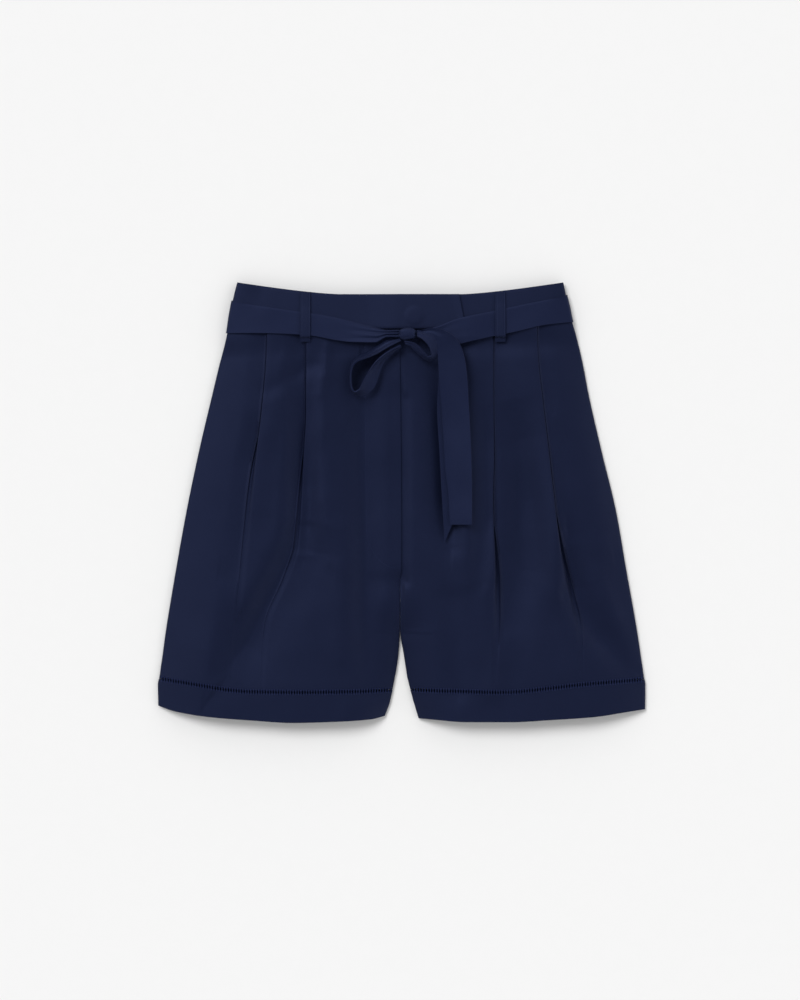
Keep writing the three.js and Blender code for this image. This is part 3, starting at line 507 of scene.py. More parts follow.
# %% Cloth materials
def cloth_material(name, dark, light, threads, relief):
    """A matte cloth: the weave's tone mixes two close colours, its relief bends the light, and a
    little sheen lifts the surface where it turns away, as short fibres do."""
    material = bpy.data.materials.new(name)
    material.use_nodes = True
    nodes, links = material.node_tree.nodes, material.node_tree.links
    shader = nodes["Principled BSDF"]
    shader.inputs["Specular IOR Level"].default_value = 0.35
    shader.inputs["Specular Tint"].default_value = (0.33, 0.43, 0.97, 1)
    shader.inputs["Sheen Weight"].default_value = 0.02
    shader.inputs["Sheen Roughness"].default_value = 0.4
    shader.inputs["Sheen Tint"].default_value = (0.5, 0.6, 1.0, 1)
    place = nodes.new("ShaderNodeUVMap")
    place.uv_map = "cloth"
    weave = nodes.new("ShaderNodeGroup")
    weave.node_tree = WEAVE
    weave.inputs["Threads per metre"].default_value = threads
    weave.inputs["Dye"].default_value = 0.45
    links.new(place.outputs["UV"], weave.inputs["Place"])
    colours = nodes.new("ShaderNodeMix")
    colours.data_type = "RGBA"
    colours.inputs["A"].default_value = (*dark, 1)
    colours.inputs["B"].default_value = (*light, 1)
    links.new(weave.outputs["Tone"], colours.inputs["Factor"])
    links.new(colours.outputs["Result"], shader.inputs["Base Color"])
    rough = nodes.new("ShaderNodeMapRange")
    rough.inputs["To Min"].default_value = 0.62
    rough.inputs["To Max"].default_value = 0.52
    links.new(weave.outputs["Tone"], rough.inputs["Value"])
    links.new(rough.outputs["Result"], shader.inputs["Roughness"])
    bump = nodes.new("ShaderNodeBump")
    bump.inputs["Strength"].default_value = relief
    bump.inputs["Distance"].default_value = 0.0002
    links.new(weave.outputs["Relief"], bump.inputs["Height"])
    links.new(bump.outputs["Normal"], shader.inputs["Normal"])
    return material


SHELL_CLOTH = cloth_material("navy_twill", (0.0017, 0.003, 0.0115), (0.004, 0.006, 0.02), 1500, 0.3)
# The belt, its bow, ends and knot wear a lighter copy of the same twill: painted light that makes them
# look more brightly lit than the legs.
BELT_CLOTH_PAINTED_LIGHT = cloth_material(
    "navy_twill_painted_lighter", (0.0022, 0.0038, 0.0145), (0.0048, 0.0072, 0.0245), 1500, 0.3
)
THREAD = cloth_material("navy_thread", (0.006, 0.0095, 0.034), (0.011, 0.017, 0.056), 4000, 0.4)
print("cloths:", SHELL_CLOTH.name, BELT_CLOTH_PAINTED_LIGHT.name, THREAD.name)

# %% [markdown]
# ## From a surface to a piece of cloth
# A surface has no thickness, so each point of the grid is moved half of the wall along the
# surface's normal, once each way, and a rim closes the edge. The Solidify modifier does much the
# same, but here the wall is made in the same arrays as the surface, so nothing stays live.
# The UV map is the distance along the cloth, so that the weave follows pleats and folds.

# %% From a surface to a piece of cloth
def distance_along(grid, axis):
    """How far each point of a grid lies along the cloth, summed from its first row or column."""
    step = np.linalg.norm(np.diff(grid, axis=axis), axis=2)
    start = np.zeros_like(np.take(step, [0], axis=axis))
    return np.concatenate([start, np.cumsum(step, axis=axis)], axis=axis)


def grid_normals(grid):
    """Unit normals of a grid: its slope down the rows crossed with its slope along them."""
    down = np.gradient(grid, axis=0)
    across = np.gradient(grid, axis=1)
    normal = np.cross(down, across)
    return normal / np.maximum(np.linalg.norm(normal, axis=2, keepdims=True), 1e-12)


def grid_quads(rows, columns):
    """Four corners for each cell of a grid, numbered row by row."""
    i, j = np.meshgrid(np.arange(rows - 1), np.arange(columns - 1), indexing="ij")
    first = (i * columns + j).ravel()
    return np.stack([first, first + columns, first + columns + 1, first + 1], axis=1)


def mesh_object(name, points, quads, uv, material, sharp=50):
    """A mesh of four-cornered faces, shaded smooth but for its sharp rims."""
    mesh = bpy.data.meshes.new(name)
    mesh.vertices.add(len(points))
    mesh.vertices.foreach_set("co", (points * MM).astype(np.float32).ravel())
    mesh.loops.add(quads.size)
    mesh.loops.foreach_set("vertex_index", quads.astype(np.int32).ravel())
    mesh.polygons.add(len(quads))
    mesh.polygons.foreach_set("loop_start", np.arange(0, quads.size, 4, dtype=np.int32))
    mesh.polygons.foreach_set("use_smooth", np.ones(len(quads), dtype=bool))
    layer = mesh.uv_layers.new(name="cloth")
    layer.data.foreach_set("uv", (uv[quads.ravel()] * MM).astype(np.float32).ravel())
    mesh.update(calc_edges=True)
    mesh.validate()
    mesh.set_sharp_from_angle(angle=math.radians(sharp))
    mesh.materials.append(material)
    piece = bpy.data.objects.new(name, mesh)
    bpy.context.scene.collection.objects.link(piece)
    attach(piece, "root")
    return piece


def cloth_piece(node, grid, thickness, material):
    """A closed wall of cloth about a grid of points, in the place of a node of the frame."""
    rows, columns = grid.shape[:2]
    offset = grid_normals(grid) * (thickness / 2)
    points = np.concatenate([(grid + offset).reshape(-1, 3), (grid - offset).reshape(-1, 3)])
    face = grid_quads(rows, columns)
    lower = rows * columns
    border = np.concatenate([
        np.arange(rows) * columns,
        (rows - 1) * columns + np.arange(1, columns),
        np.arange(rows - 2, -1, -1) * columns + columns - 1,
        np.arange(columns - 2, -1, -1),
    ])
    first, second = border[:-1], border[1:]
    rim = np.stack([second, first, first + lower, second + lower], axis=1)
    quads = np.concatenate([face, face[:, ::-1] + lower, rim])
    across = distance_along(grid, 1)
    down = distance_along(grid, 0)
    flat = np.stack([across.ravel(), down.ravel()], axis=1)
    piece = mesh_object("cloth_" + node, points, quads, np.tile(flat, (2, 1)), material)
    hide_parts(node)
    return piece


# %% [markdown]
# ## Pleated front panels
# Each front has two pleats. A pleat is made by folding the cloth back under itself and sewing it
# down at the waist. Seen along the waist, its section is a flat S: the cloth comes in, turns back
# over itself to the folded edge, and turns again into the layer that shows. Lower down nothing
# holds it, so the fold opens until it is only a soft step. The section is two arcs and a straight
# stretch between them, and three numbers change down the leg: how far the cloth runs under, how
# sharply it turns, and how tight the turn is.

# %% Pleats
PLEATS = {
    "right": [
        table(
            "y x under turn radius",
            (205, -142.6, 14, 180, 0.62),
            (150, -144, 11, 180, 0.62),
            (98, -148.4, 5, 176, 0.66),
            (60, -152.6, 1.6, 118, 1.1),
            (20, -156, 0.5, 58, 2.8),
            (-30, -159.6, 0.3, 28, 7),
            (-80, -164, 0.2, 14, 14),
            (-130, -170, 0.1, 7, 24),
            (-205, -180, 0, 2, 30),
        ),
        table(
            "y x under turn radius",
            (205, -101.2, 14, 180, 0.62),
            (150, -101.6, 11, 180, 0.62),
            (98, -101.8, 5, 176, 0.66),
            (50, -104, 1.6, 120, 1.1),
            (5, -105.4, 0.6, 72, 2.2),
            (-45, -108, 0.4, 44, 4.4),
            (-80, -118, 0.3, 24, 8),
            (-130, -138, 0.2, 11, 16),
            (-205, -146, 0, 2, 30),
        ),
    ],
    "left": [
        table(
            "y x under turn radius",
            (205, 143.6, 14, 180, 0.62),
            (150, 145.6, 11, 180, 0.62),
            (98, 151, 8, 180, 0.7),
            (53, 156.3, 5, 175, 0.85),
            (5, 161.5, 2, 150, 1.1),
            (-64, 169.5, 0.8, 96, 2.2),
            (-105, 177, 0.5, 50, 4),
            (-140, 183, 0.3, 18, 11),
            (-205, 188, 0, 2, 30),
        ),
        table(
            "y x under turn radius",
            (205, 98.6, 14, 180, 0.62),
            (150, 97.8, 11, 180, 0.62),
            (98, 98.2, 8, 180, 0.7),
            (53, 98.8, 5, 175, 0.85),
            (5, 97.6, 2.5, 155, 1.1),
            (-64, 98.8, 0.8, 92, 2.3),
            (-105, 97, 0.5, 44, 5),
            (-150, 95, 0.2, 14, 14),
            (-205, 94, 0, 2, 30),
        ),
    ],
}
PLEAT_EASE = 22.0
TURN_STEPS = 6
PLEAT_STEPS = 7


def stretch(start, end, count):
    """Even steps from start to end on every row, without the first."""
    share = np.linspace(0, 1, count + 1)[1:]
    return start[:, None] + (end - start)[:, None] * share


def side_turn(radius, thickness, up):
    """A quarter turn at a side edge: distances in from the edge, and heights about its middle."""
    angle = np.linspace(math.asin(GAP / 2 / radius), math.pi / 2, TURN_STEPS + 1)
    return radius + thickness / 2 - radius * np.cos(angle), up * radius * np.sin(angle)


def pleat_section(pleat, leg, y, edge_x):
    """One pleat on every row: an arc up and back, a straight stretch and an arc over. The rise is
    shared evenly below and above the level of the cloth."""
    turn = np.radians(read(pleat, "turn", y))
    radius = read(pleat, "radius", y)
    under = read(pleat, "under", y)
    rise = 2 * radius * (1 - np.cos(turn)) + under * np.sin(turn)
    run = 2 * radius * np.sin(turn) + under * np.cos(turn)
    closed = (1 - np.cos(turn)) / 2
    edge = INWARD[leg] * (read(pleat, "x", y) - edge_x)
    top_start = edge + (radius + CLOTH / 2) * closed
    under_end = top_start - run
    angle = turn[:, None] * np.linspace(0, 1, PLEAT_STEPS + 1)
    back = angle[:, ::-1]
    wide = radius[:, None]
    level = rise[:, None] / 2
    q = np.concatenate(
        [under_end[:, None] + wide * np.sin(angle), top_start[:, None] - wide * np.sin(back)], axis=1
    )
    z = np.concatenate([wide * (1 - np.cos(angle)) - level, level - wide * (1 - np.cos(back))], axis=1)
    settled = np.maximum(under_end + (radius + CLOTH / 2 + 1) * closed, top_start + 1)
    return {
        "q": q,
        "z": z,
        "rise": rise,
        "approach": np.minimum(edge - 0.6, under_end - 1.5),
        "under_end": under_end,
        "top_start": top_start,
        "settled": settled,
    }


def relief_of(pleat, q):
    """How far a pleat lowers the cloth before it (-1) or raises it after it (1)."""
    approach, top, settled = (pleat[key][:, None] for key in ("approach", "top_start", "settled"))
    before = -ease((q - approach + PLEAT_EASE) / PLEAT_EASE)
    after = 1 - ease((q - settled) / PLEAT_EASE)
    return np.where(q < approach, before, np.where(q >= top, after, 0.0))


print("pleats on each leg:", len(PLEATS["right"]))


# %% [markdown]
# ## Rows of a front piece
# A row of cloth runs from the side seam round its turn, through both pleats, to the middle seam
# or to the turn at the inner leg. All rows are worked out together: each stretch of a row is one
# array with a line for each row. Above the crotch the wearer's right front laps over the left one
# at the fly, so its edge is thicker and stands up a little. The rest of the middle is a seam that
# pulls both edges down.

# %% Rows of a front piece
FLY_FOOT_Y = -78.0
FLY_WIDTH = 34.0
FLY_LAP = 1.6


def middle_relief(leg, from_middle, y):
    """The fly's doubled cloth on the right front, and the seam's pull on both fronts."""
    fly = ease((y - FLY_FOOT_Y + 6) / 12)
    doubled = 0.5 * ease((FLY_WIDTH + 2 - from_middle) / 3) + 0.5 * ease(1 - from_middle / 9)
    pull = -0.7 * np.exp(-((from_middle / 2.2) ** 2))
    if leg == "right":
        return fly * 1.0 * doubled + (1 - fly) * pull
    return fly * -0.45 * ease(1 - from_middle / 7) + (1 - fly) * pull


def front_grid(leg, at, rows, pleat_y=None):
    """The grid of a front piece. at(x) gives the height on each row, and rows is their number."""
    sign = INWARD[leg]
    y_side = settle(lambda y: at(side_x(leg, y)[:, None])[:, 0], rows)
    y_inner = settle(lambda y: at(inner_x(leg, y)[:, None])[:, 0], rows)
    edge_x = side_x(leg, y_side)
    width = sign * (inner_x(leg, y_inner) - edge_x)
    if leg == "right" and pleat_y is not None:
        width = width + FLY_LAP * ease((y_inner - FLY_FOOT_Y + 6) / 12)
    turn_q, turn_height = side_turn(PANEL_TURN, CLOTH, 1)
    parted = (y_inner < CROTCH_Y)[:, None]
    last_run = np.where(parted[:, 0], width - turn_q[-1], width - 1.5)
    pleats = [] if pleat_y is None else [
        pleat_section(pleat, leg, pleat_y, edge_x) for pleat in PLEATS[leg]
    ]

    def flat(q):
        """A stretch of single cloth, lowered towards a pleat and raised after it."""
        height = sum(pleat["rise"][:, None] / 2 * relief_of(pleat, q) for pleat in pleats)
        return q, PANEL_TURN + height + np.zeros_like(q)

    def fold(pleat):
        """The cloth that runs under the pleat, the pleat itself and the layer that shows."""
        low = stretch(pleat["approach"], pleat["under_end"], 5)[:, :-1]
        top = stretch(pleat["top_start"], pleat["settled"], 3)
        half = pleat["rise"][:, None] / 2
        q = np.concatenate([low, pleat["q"], top], axis=1)
        z = np.concatenate([low * 0 - half, pleat["z"], top * 0 + half], axis=1)
        return q, PANEL_TURN + z

    all_rows = np.ones((rows, 1))
    start = all_rows * turn_q[-1]
    if pleats:
        outer, inner = pleats
        stretches = [
            flat(np.concatenate([start, stretch(start[:, 0], outer["approach"], 34)], axis=1)),
            fold(outer),
            flat(stretch(outer["settled"], inner["approach"], 30)),
            fold(inner),
            flat(stretch(inner["settled"], last_run, 60)),
        ]
    else:
        stretches = [flat(np.concatenate([start, stretch(start[:, 0], last_run, 150)], axis=1))]
    end_share = np.linspace(0, 1, TURN_STEPS + 1)[1:]
    end_q = np.where(parted, width[:, None] - turn_q[::-1][1:], mix(last_run, width, 0)[:, None]
                     + (width - last_run)[:, None] * end_share)
    end_z = np.where(parted, turn_height[::-1][1:], PANEL_TURN + 0 * end_share)
    q = np.concatenate([all_rows * turn_q[:-1], *[part[0] for part in stretches], end_q], axis=1)
    z = np.concatenate([all_rows * turn_height[:-1], *[part[1] for part in stretches], end_z], axis=1)
    domed = np.ones_like(q)
    domed[:, :TURN_STEPS] = 0
    domed[:, -TURN_STEPS:] = np.where(parted, 0, 1)
    x = edge_x[:, None] + sign * q
    y = at(x)
    from_middle = np.abs(x - inner_x(leg, y))
    centre = np.where(parted, 0, middle_relief(leg, from_middle, y)) if pleats else 0
    return np.stack([x, y, turn_z(x, y) + z + domed * loft(leg, x, y) + centre], axis=2)


LADDER_HALF = 2.15
PANEL_ROWS = 226


def back_shift(leg, x):
    """The back's ladder line lies higher on the table than the front's, but for its two ends."""
    from_ends = np.minimum(np.abs(x - side_x(leg, -196.0)), np.abs(x - inner_x(leg, -200.0)))
    return 4.6 * ease((from_ends - 4) / 22)


def ladder_gap(leg, x, back=False):
    """Half of the opening along the ladder line, closed where the side and inner seams cross. The
    back's opening stops further from both seams, so nothing shows through the two layers."""
    from_side = np.abs(x - side_x(leg, -196.0)) - (20 if back else 0)
    from_inner = np.abs(x - inner_x(leg, -200.0)) - (12 if back else 0)
    return 0.16 + (LADDER_HALF - 0.16) * ease((np.minimum(from_side, from_inner) - 2.5) / 1.6)


def panel_rows(leg, share, back=False):
    """A row at each share of the way from the waist seam to the ladder line."""
    down = share[:, None]

    def at(x):
        """The row's height at x."""
        foot = hem_line_y(leg, x) + ladder_gap(leg, x, back) + (back_shift(leg, x) if back else 0)
        return mix(waist_seam_y(x), foot, down)

    return at


def hem_rows(leg, share, back=False):
    """A row at each share of the way from the ladder line to the hem's edge."""
    down = share[:, None]

    def at(x):
        """The row's height at x."""
        top = hem_line_y(leg, x) - ladder_gap(leg, x, back) + (back_shift(leg, x) if back else 0)
        return mix(top, hem_edge_y(leg, x), down)

    return at


panel_share = np.linspace(0, 1, PANEL_ROWS)
for leg in ("right", "left"):
    rows = panel_rows(leg, panel_share)
    pleat_y = rows(np.full((PANEL_ROWS, 1), -120.0 * INWARD[leg]))[:, 0]
    cloth_piece(
        f"front_{leg}", front_grid(leg, rows, PANEL_ROWS, pleat_y), CLOTH,
        SHELL_CLOTH,
    )

# %% [markdown]
# ## Hem bands and backs
# The hem is a band of its own, cloth turned double, which hangs from the ladder stitch. Its lower
# edge is a fold, so it is round and a little thicker. The back panels and back hems lie flat on
# the table, and only their side turns and edges can be seen.

# %% Hem bands and backs
HEM_ROWS = 26
BACK_ROWS = 120


def back_grid(leg, at, rows, thickness):
    """A flat back: a turn up at the side seam, then level cloth to the middle or inner leg."""
    sign = INWARD[leg]
    y_side = settle(lambda y: at(side_x(leg, y)[:, None])[:, 0], rows)
    y_inner = settle(lambda y: at(inner_x(leg, y)[:, None])[:, 0], rows)
    edge_x = side_x(leg, y_side)
    width = sign * (inner_x(leg, y_inner) - edge_x) + np.where(y_inner < CROTCH_Y, 0, 0.45 * GAP)
    radius = PANEL_SIDE_Z - thickness / 2
    turn_q, turn_height = side_turn(radius, thickness, -1)
    parted = (y_inner < CROTCH_Y)[:, None]
    last_run = np.where(parted[:, 0], width - turn_q[-1], width - 1.5)
    all_rows = np.ones((rows, 1))
    start = all_rows * turn_q[-1]
    level = np.concatenate([start, stretch(start[:, 0], last_run, 70)], axis=1)
    end_share = np.linspace(0, 1, TURN_STEPS + 1)[1:]
    end_q = np.where(parted, width[:, None] - turn_q[::-1][1:],
                     last_run[:, None] + (width - last_run)[:, None] * end_share)
    end_z = np.where(parted, turn_height[::-1][1:], -radius + 0 * end_share)
    q = np.concatenate([all_rows * turn_q[:-1], level, end_q], axis=1)
    z = np.concatenate([all_rows * turn_height[:-1], level * 0 - radius, end_z], axis=1)
    x = edge_x[:, None] + sign * q
    y = at(x)
    return np.stack([x, y, turn_z(x, y) + z], axis=2)


hem_share = np.linspace(0, 1, HEM_ROWS)
back_share = np.linspace(0, 1, BACK_ROWS)
for leg in ("right", "left"):
    cloth_piece(
        f"back_{leg}", back_grid(leg, panel_rows(leg, back_share, True), BACK_ROWS, CLOTH), CLOTH,
        SHELL_CLOTH,
    )
    cloth_piece(
        f"hem_back_{leg}", back_grid(leg, hem_rows(leg, hem_share, True), HEM_ROWS, HEM), HEM,
        SHELL_CLOTH,
    )
    cloth_piece(
        f"hem_front_{leg}", front_grid(leg, hem_rows(leg, hem_share), HEM_ROWS), HEM,
        SHELL_CLOTH,
    )

# %% [markdown]
# ## Ladder stitch
# Between the leg and the hem band runs a row of openwork: threads of the cloth are drawn out, and
# the ones left are bound into small bars, like the rungs of a ladder. Each rung is made here as
# two strands that cross, thick at the cloth and pinched in the middle, so the holes between
# the rungs are real openings. All the strands are one array of rings, one mesh for each leg.

# %% Tubes for thread
def tubes(name, paths, radii, sides=6):
    """A tube round each path. paths[strand, point, xyz] and radii[strand, point] give its rings:
    circles about the path, in the plane of two directions at right angles to it."""
    strands, count = paths.shape[:2]
    along = np.gradient(paths, axis=1)
    along /= np.linalg.norm(along, axis=2, keepdims=True)
    up = np.zeros_like(along)
    up[..., 2] = 1
    flat = np.abs(along[..., 2]) > 0.9
    up[flat] = (1, 0, 0)
    side = np.cross(along, up)
    side /= np.linalg.norm(side, axis=2, keepdims=True)
    over = np.cross(side, along)
    angle = np.linspace(0, 2 * math.pi, sides, endpoint=False)
    ring = side[:, :, None] * np.cos(angle)[:, None] + over[:, :, None] * np.sin(angle)[:, None]
    points = (paths[:, :, None] + ring * radii[:, :, None, None]).reshape(-1, 3)
    j, i = np.meshgrid(np.arange(count - 1), np.arange(sides), indexing="ij")
    nxt = (i + 1) % sides
    one = np.stack(
        [j * sides + i, j * sides + nxt, (j + 1) * sides + nxt, (j + 1) * sides + i], axis=-1
    )
    one = one.reshape(-1, 4)[:, ::-1]
    offset = np.arange(strands)[:, None, None] * count * sides
    quads = (one[None] + offset).reshape(-1, 4)
    length = distance_along(paths, 1)
    uv = np.stack(
        [np.broadcast_to(angle / 2, (strands, count, sides)),
         np.repeat(length[:, :, None], sides, 2)],
        axis=-1,
    ).reshape(-1, 2)
    piece = mesh_object(name, points, quads, uv, THREAD, sharp=80)
    print(f"{name}: {strands} strands, {len(quads) * 2} triangles")
    return piece


# %% Ladder stitch
LADDER_PITCH = 2.8
STRAND_POINTS = 7


def ladder(leg, side):
    """Crossing strands from the cloth above the opening to the band below it, every 2.8 mm. A
    strand swings half a pitch from one side to the other, and sinks between the two edges."""
    edge = side_x(leg, -196.0)
    inner = inner_x(leg, -200.0)
    from_x, to_x = min(edge, inner) + 3.0, max(edge, inner) - 3.0
    rungs = int((to_x - from_x) / LADDER_PITCH)
    middle = from_x + (np.arange(rungs) + 0.5) * (to_x - from_x) / rungs
    share = np.linspace(-1, 1, STRAND_POINTS)
    middle = np.repeat(middle, 2)[:, None]
    swing = np.tile([1.0, -1.0], rungs)[:, None]
    x = middle + swing * 0.5 * np.sin(share * math.pi / 2)
    y = hem_line_y(leg, middle) - share * (LADDER_HALF + 1.0)
    sink = (1 - ease((np.abs(share) - 0.45) / 0.4)) * 0.3
    if side == "front":
        z = front_z(leg, x, y) + CLOTH / 2 + 0.2 - sink
    else:
        y = y + back_shift(leg, middle)
        z = np.full_like(x, CLOTH + 0.12) - sink
    z = z + swing * 0.1
    thick = 0.46 + 0.08 * np.abs(share) ** 2 - 0.24 * ease((np.abs(share) - 0.8) / 0.2)
    return np.stack([x, y, z], axis=2), np.broadcast_to(thick, x.shape)


for leg in ("right", "left"):
    front_paths, front_radii = ladder(leg, "front")
    back_paths, back_radii = ladder(leg, "back")
    rungs = tubes(
        f"ladder_stitch_{leg}",
        np.concatenate([front_paths, back_paths]),
        np.concatenate([front_radii, back_radii]),
    )

# %% [markdown]
# ## Waistband
# The waistband is a doubled strip with a firm lining, so it stays smoother than the legs. Its
# right end laps over the left one and stops in a slanted edge. That end lies one thickness
# higher, which is a smooth step in the height of the strip.

# %% Waistband
TAB_STEP = WAISTBAND + GAP
LAP_RISEN_X = -2.0
LAP_LEFT_X = 68.0
TAB_RISE_WIDTH = 36.0
TURN_CENTRE = WAISTBAND_TURN + WAISTBAND / 2
# Where the hidden fastening presses through the band: x, y and radius
FASTENING = (13.8, 198.2, 9.5)


def lap_rise(x):
    """From 0 to 1 where the right end of the waistband climbs on to the left one."""
    return ease((x - LAP_RISEN_X + TAB_RISE_WIDTH) / TAB_RISE_WIDTH)


def waistband_y(x, share):
    """The height on the band, from its upper edge to the seam below it."""
    return mix(waist_top_y(x), waist_seam_y(x) + SEAM_GAP, share)


def band_relief(x, share):
    """Long soft waves of a lined band, and its edges rolled down by a fraction of a mm."""
    edge = np.minimum(share, 1 - share) * WAISTBAND_HEIGHT
    rolled = -0.35 * np.clip(1 - edge / 2.2, 0, 1) ** 2
    return rolled + 0.16 * np.sin(x / 17 + 2 * share) + 0.1 * np.sin(x / 7.3 - 3 * share)


def fade_in(x, edge_x, width=24):
    """From 0 at the side turn to 1 further in, so that relief leaves the turn alone."""
    return ease((np.abs(x - edge_x) - 6) / width)


def waistband_front(leg):
    """A strip from the side turn to its end, on the height of the waistband. The lapped end stands
    up a little at its edge, and the fastening behind it shows as a flat round rise."""
    share = np.linspace(0, 1, 30)
    sign = INWARD[leg]
    y_edge = settle(lambda y: waistband_y(side_x(leg, y), share), len(share))
    edge_x = side_x(leg, y_edge)[:, None]
    end_x = (61.2 + 0.19 * WAISTBAND_HEIGHT * share)[:, None] if leg == "right" else 0.8 + 0 * edge_x
    turn_q, turn_height = side_turn(WAISTBAND_TURN, WAISTBAND, 1)
    start = edge_x + sign * turn_q[-1]
    x = start + (end_x - start) * np.linspace(0, 1, 240)
    y = waistband_y(x, share[:, None])
    z = waistband_z(x, y) + band_relief(x, share[:, None]) * fade_in(x, edge_x)
    if leg == "right":
        fastening = np.exp(-((np.hypot(x - FASTENING[0], y - FASTENING[1]) / FASTENING[2]) ** 6))
        z = z + TAB_STEP * lap_rise(x) + 0.6 * fastening + 0.9 * ease(1 - (end_x - x) / 9)
    turn_x = edge_x + sign * turn_q[:-1]
    turn_y = waistband_y(turn_x, share[:, None])
    turned_z = WAIST_SIDE_Z + turn_height[:-1] + 0 * turn_x
    columns = [np.concatenate(pair, axis=1) for pair in ((turn_x, x), (turn_y, y), (turned_z, z))]
    return np.stack(columns, axis=2)


def band_across_back(radius, thickness, y_at, rows):
    """A strip across the back between both side turns, level in its middle."""
    share = np.linspace(0, 1, rows)
    ends = []
    for leg in ("right", "left"):
        y_edge = settle(lambda y: y_at(side_x(leg, y), share), rows)
        turn_q, turn_height = side_turn(radius, thickness, -1)
        x = side_x(leg, y_edge)[:, None] + INWARD[leg] * (turn_q - radius - thickness / 2 + TURN_CENTRE)
        ends.append((x, turn_height + 0 * x))
    (right_x, right_z), (left_x, left_z) = ends
    level = stretch(right_x[:, -1], left_x[:, -1], 110)[:, :-1]
    x = np.concatenate([right_x, level, left_x[:, ::-1]], axis=1)
    z = np.concatenate([right_z, level * 0 - radius, left_z[:, ::-1]], axis=1)
    return np.stack([x, y_at(x, share[:, None]), WAIST_SIDE_Z + z], axis=2)


for leg in ("right", "left"):
    cloth_piece(
        f"waistband_front_{leg}", waistband_front(leg), WAISTBAND,
        SHELL_CLOTH,
    )
cloth_piece(
    "waistband_back", band_across_back(WAISTBAND_TURN, WAISTBAND, waistband_y, 24), WAISTBAND,
    SHELL_CLOTH,
)

# %% [markdown]
# ## Tie belt
# The belt is a tube of the same cloth pressed flat. It runs through the loops, and its two strands
# are drawn together in the knot, so they narrow and gather as they near it. The gathers are waves
# across the strand that grow towards the knot. A simulation could pull them in, but a few clear
# folds in known places are nearer to the picture. The belt's pieces, bow and knot wear a lighter
# copy of the twill, which is painted light.

# %% Tie belt
BELT_RIGHT = table(
    "x top bottom crown",
    (-190, 214.5, 179.9, 0),
    (-147, 208, 179.7, 0),
    (-115, 203.4, 178.5, 0),
    (-94, 200.4, 176.8, 0),
    (-76, 197.4, 173.3, 0.3),
    (-53, 192, 170.2, 0.8),
    (-28, 185.6, 169.6, 1.8),
    (-15, 182.6, 175.4, 2.2),
    (-2.4, 182.8, 175.2, 1.5),
)
BELT_LEFT = table(
    "x top bottom crown",
    (186, 221, 192.2, 0),
    (152.7, 214.8, 188.5, 0),
    (120.4, 208.2, 181.1, 0),
    (99.5, 203.5, 176.9, 0),
    (78.2, 199.2, 172.2, 0),
    (57, 194.2, 168, 0),
    (41, 187.6, 168, 0),
    (25, 183, 173, 0),
    (16.4, 182.4, 175, 0),
)
BELT_BACK = table("x top bottom", (-190, 214.5, 179.9), (186, 221, 192.2))
BELT_WALL = 0.9
BELT_LIFT = WAISTBAND / 2 + 0.25 + BELT_WALL / 2


def tab_lift(x):
    """The belt climbs over the lapped end of the waistband and comes down beyond it."""
    return TAB_STEP * lap_rise(x) * (1 - ease((x - LAP_LEFT_X) / TAB_RISE_WIDTH))


def belt_y(data):
    """A function that gives the height on a strand between its upper and lower edge."""
    return lambda x, share: mix(read(data, "top", x), read(data, "bottom", x), share)


def belt_z(x, y):
    """The middle of a strand's wall, as it lies on the waistband."""
    return waistband_z(x, y) + BELT_LIFT + tab_lift(x)


def belt_strand(leg, data, knot_x, folds, depth, lift):
    """A strand from the side turn to the knot, with gathers that grow towards the knot: sine
    waves across the strand, of a height that fades out over 75 mm. Its lower edge lifts too."""
    share = np.linspace(0, 1, 44)
    down = share[:, None]
    sign = INWARD[leg]
    y_at = belt_y(data)
    y_edge = settle(lambda y: y_at(side_x(leg, y), share), len(share))
    edge_x = side_x(leg, y_edge)[:, None]
    turn_q, turn_height = side_turn(BELT_TURN, RIBBON, 1)
    turn_x = edge_x + sign * (turn_q - BELT_TURN - RIBBON / 2 + TURN_CENTRE)
    start = turn_x[:, -1:]
    x = start + (knot_x - start) * np.linspace(0, 1, 230)[1:]
    y = y_at(x, down)
    near = ease(1 - np.abs(x - knot_x) / 75)
    gathers = depth * near**1.5 * (1 + np.sin(2 * math.pi * folds * down + x / 26)) / 2
    crown = read(data, "crown", x) * (1 - (2 * down - 1) ** 2)
    slack = 0.12 * (1 + np.sin(x / 13 + 4 * down)) * fade_in(x, edge_x)
    rolled = -0.4 * np.clip(1 - down / 0.1, 0, 1) ** 2 * fade_in(x, edge_x)
    lifted = lift * ease(1 - np.abs(x - knot_x) / 105) * down**4
    z = belt_z(x, y) + crown + gathers + slack + rolled + lifted
    turn_y = y_at(turn_x, down)
    columns = [
        np.concatenate(pair, axis=1)
        for pair in ((turn_x, x), (turn_y, y), (WAIST_SIDE_Z + turn_height + 0 * turn_x, z))
    ]
    return np.stack(columns, axis=2)


cloth_piece(
    "belt_right", belt_strand("right", BELT_RIGHT, -2.4, 2.6, 1.5, 3.6), BELT_WALL,
    BELT_CLOTH_PAINTED_LIGHT,
)
cloth_piece(
    "belt_left", belt_strand("left", BELT_LEFT, 16.4, 2.2, 0.5, 1.2), BELT_WALL,
    BELT_CLOTH_PAINTED_LIGHT,
)
cloth_piece(
    "belt_back", band_across_back(BELT_TURN, RIBBON, belt_y(BELT_BACK), 20), RIBBON,
    BELT_CLOTH_PAINTED_LIGHT,
)

# %% [markdown]
# ## Belt loops
# A belt loop is a narrow strip with both edges turned under and stitched. It is sewn into the
# upper edge of the waistband, stands off over the belt, and is sewn down below it. Its section
# along the garment is a short table of heights with a smooth reading between them.

# %% Belt loops
LOOP_WIDTH = 11.0
LOOP_FOOT_Y = 170.6


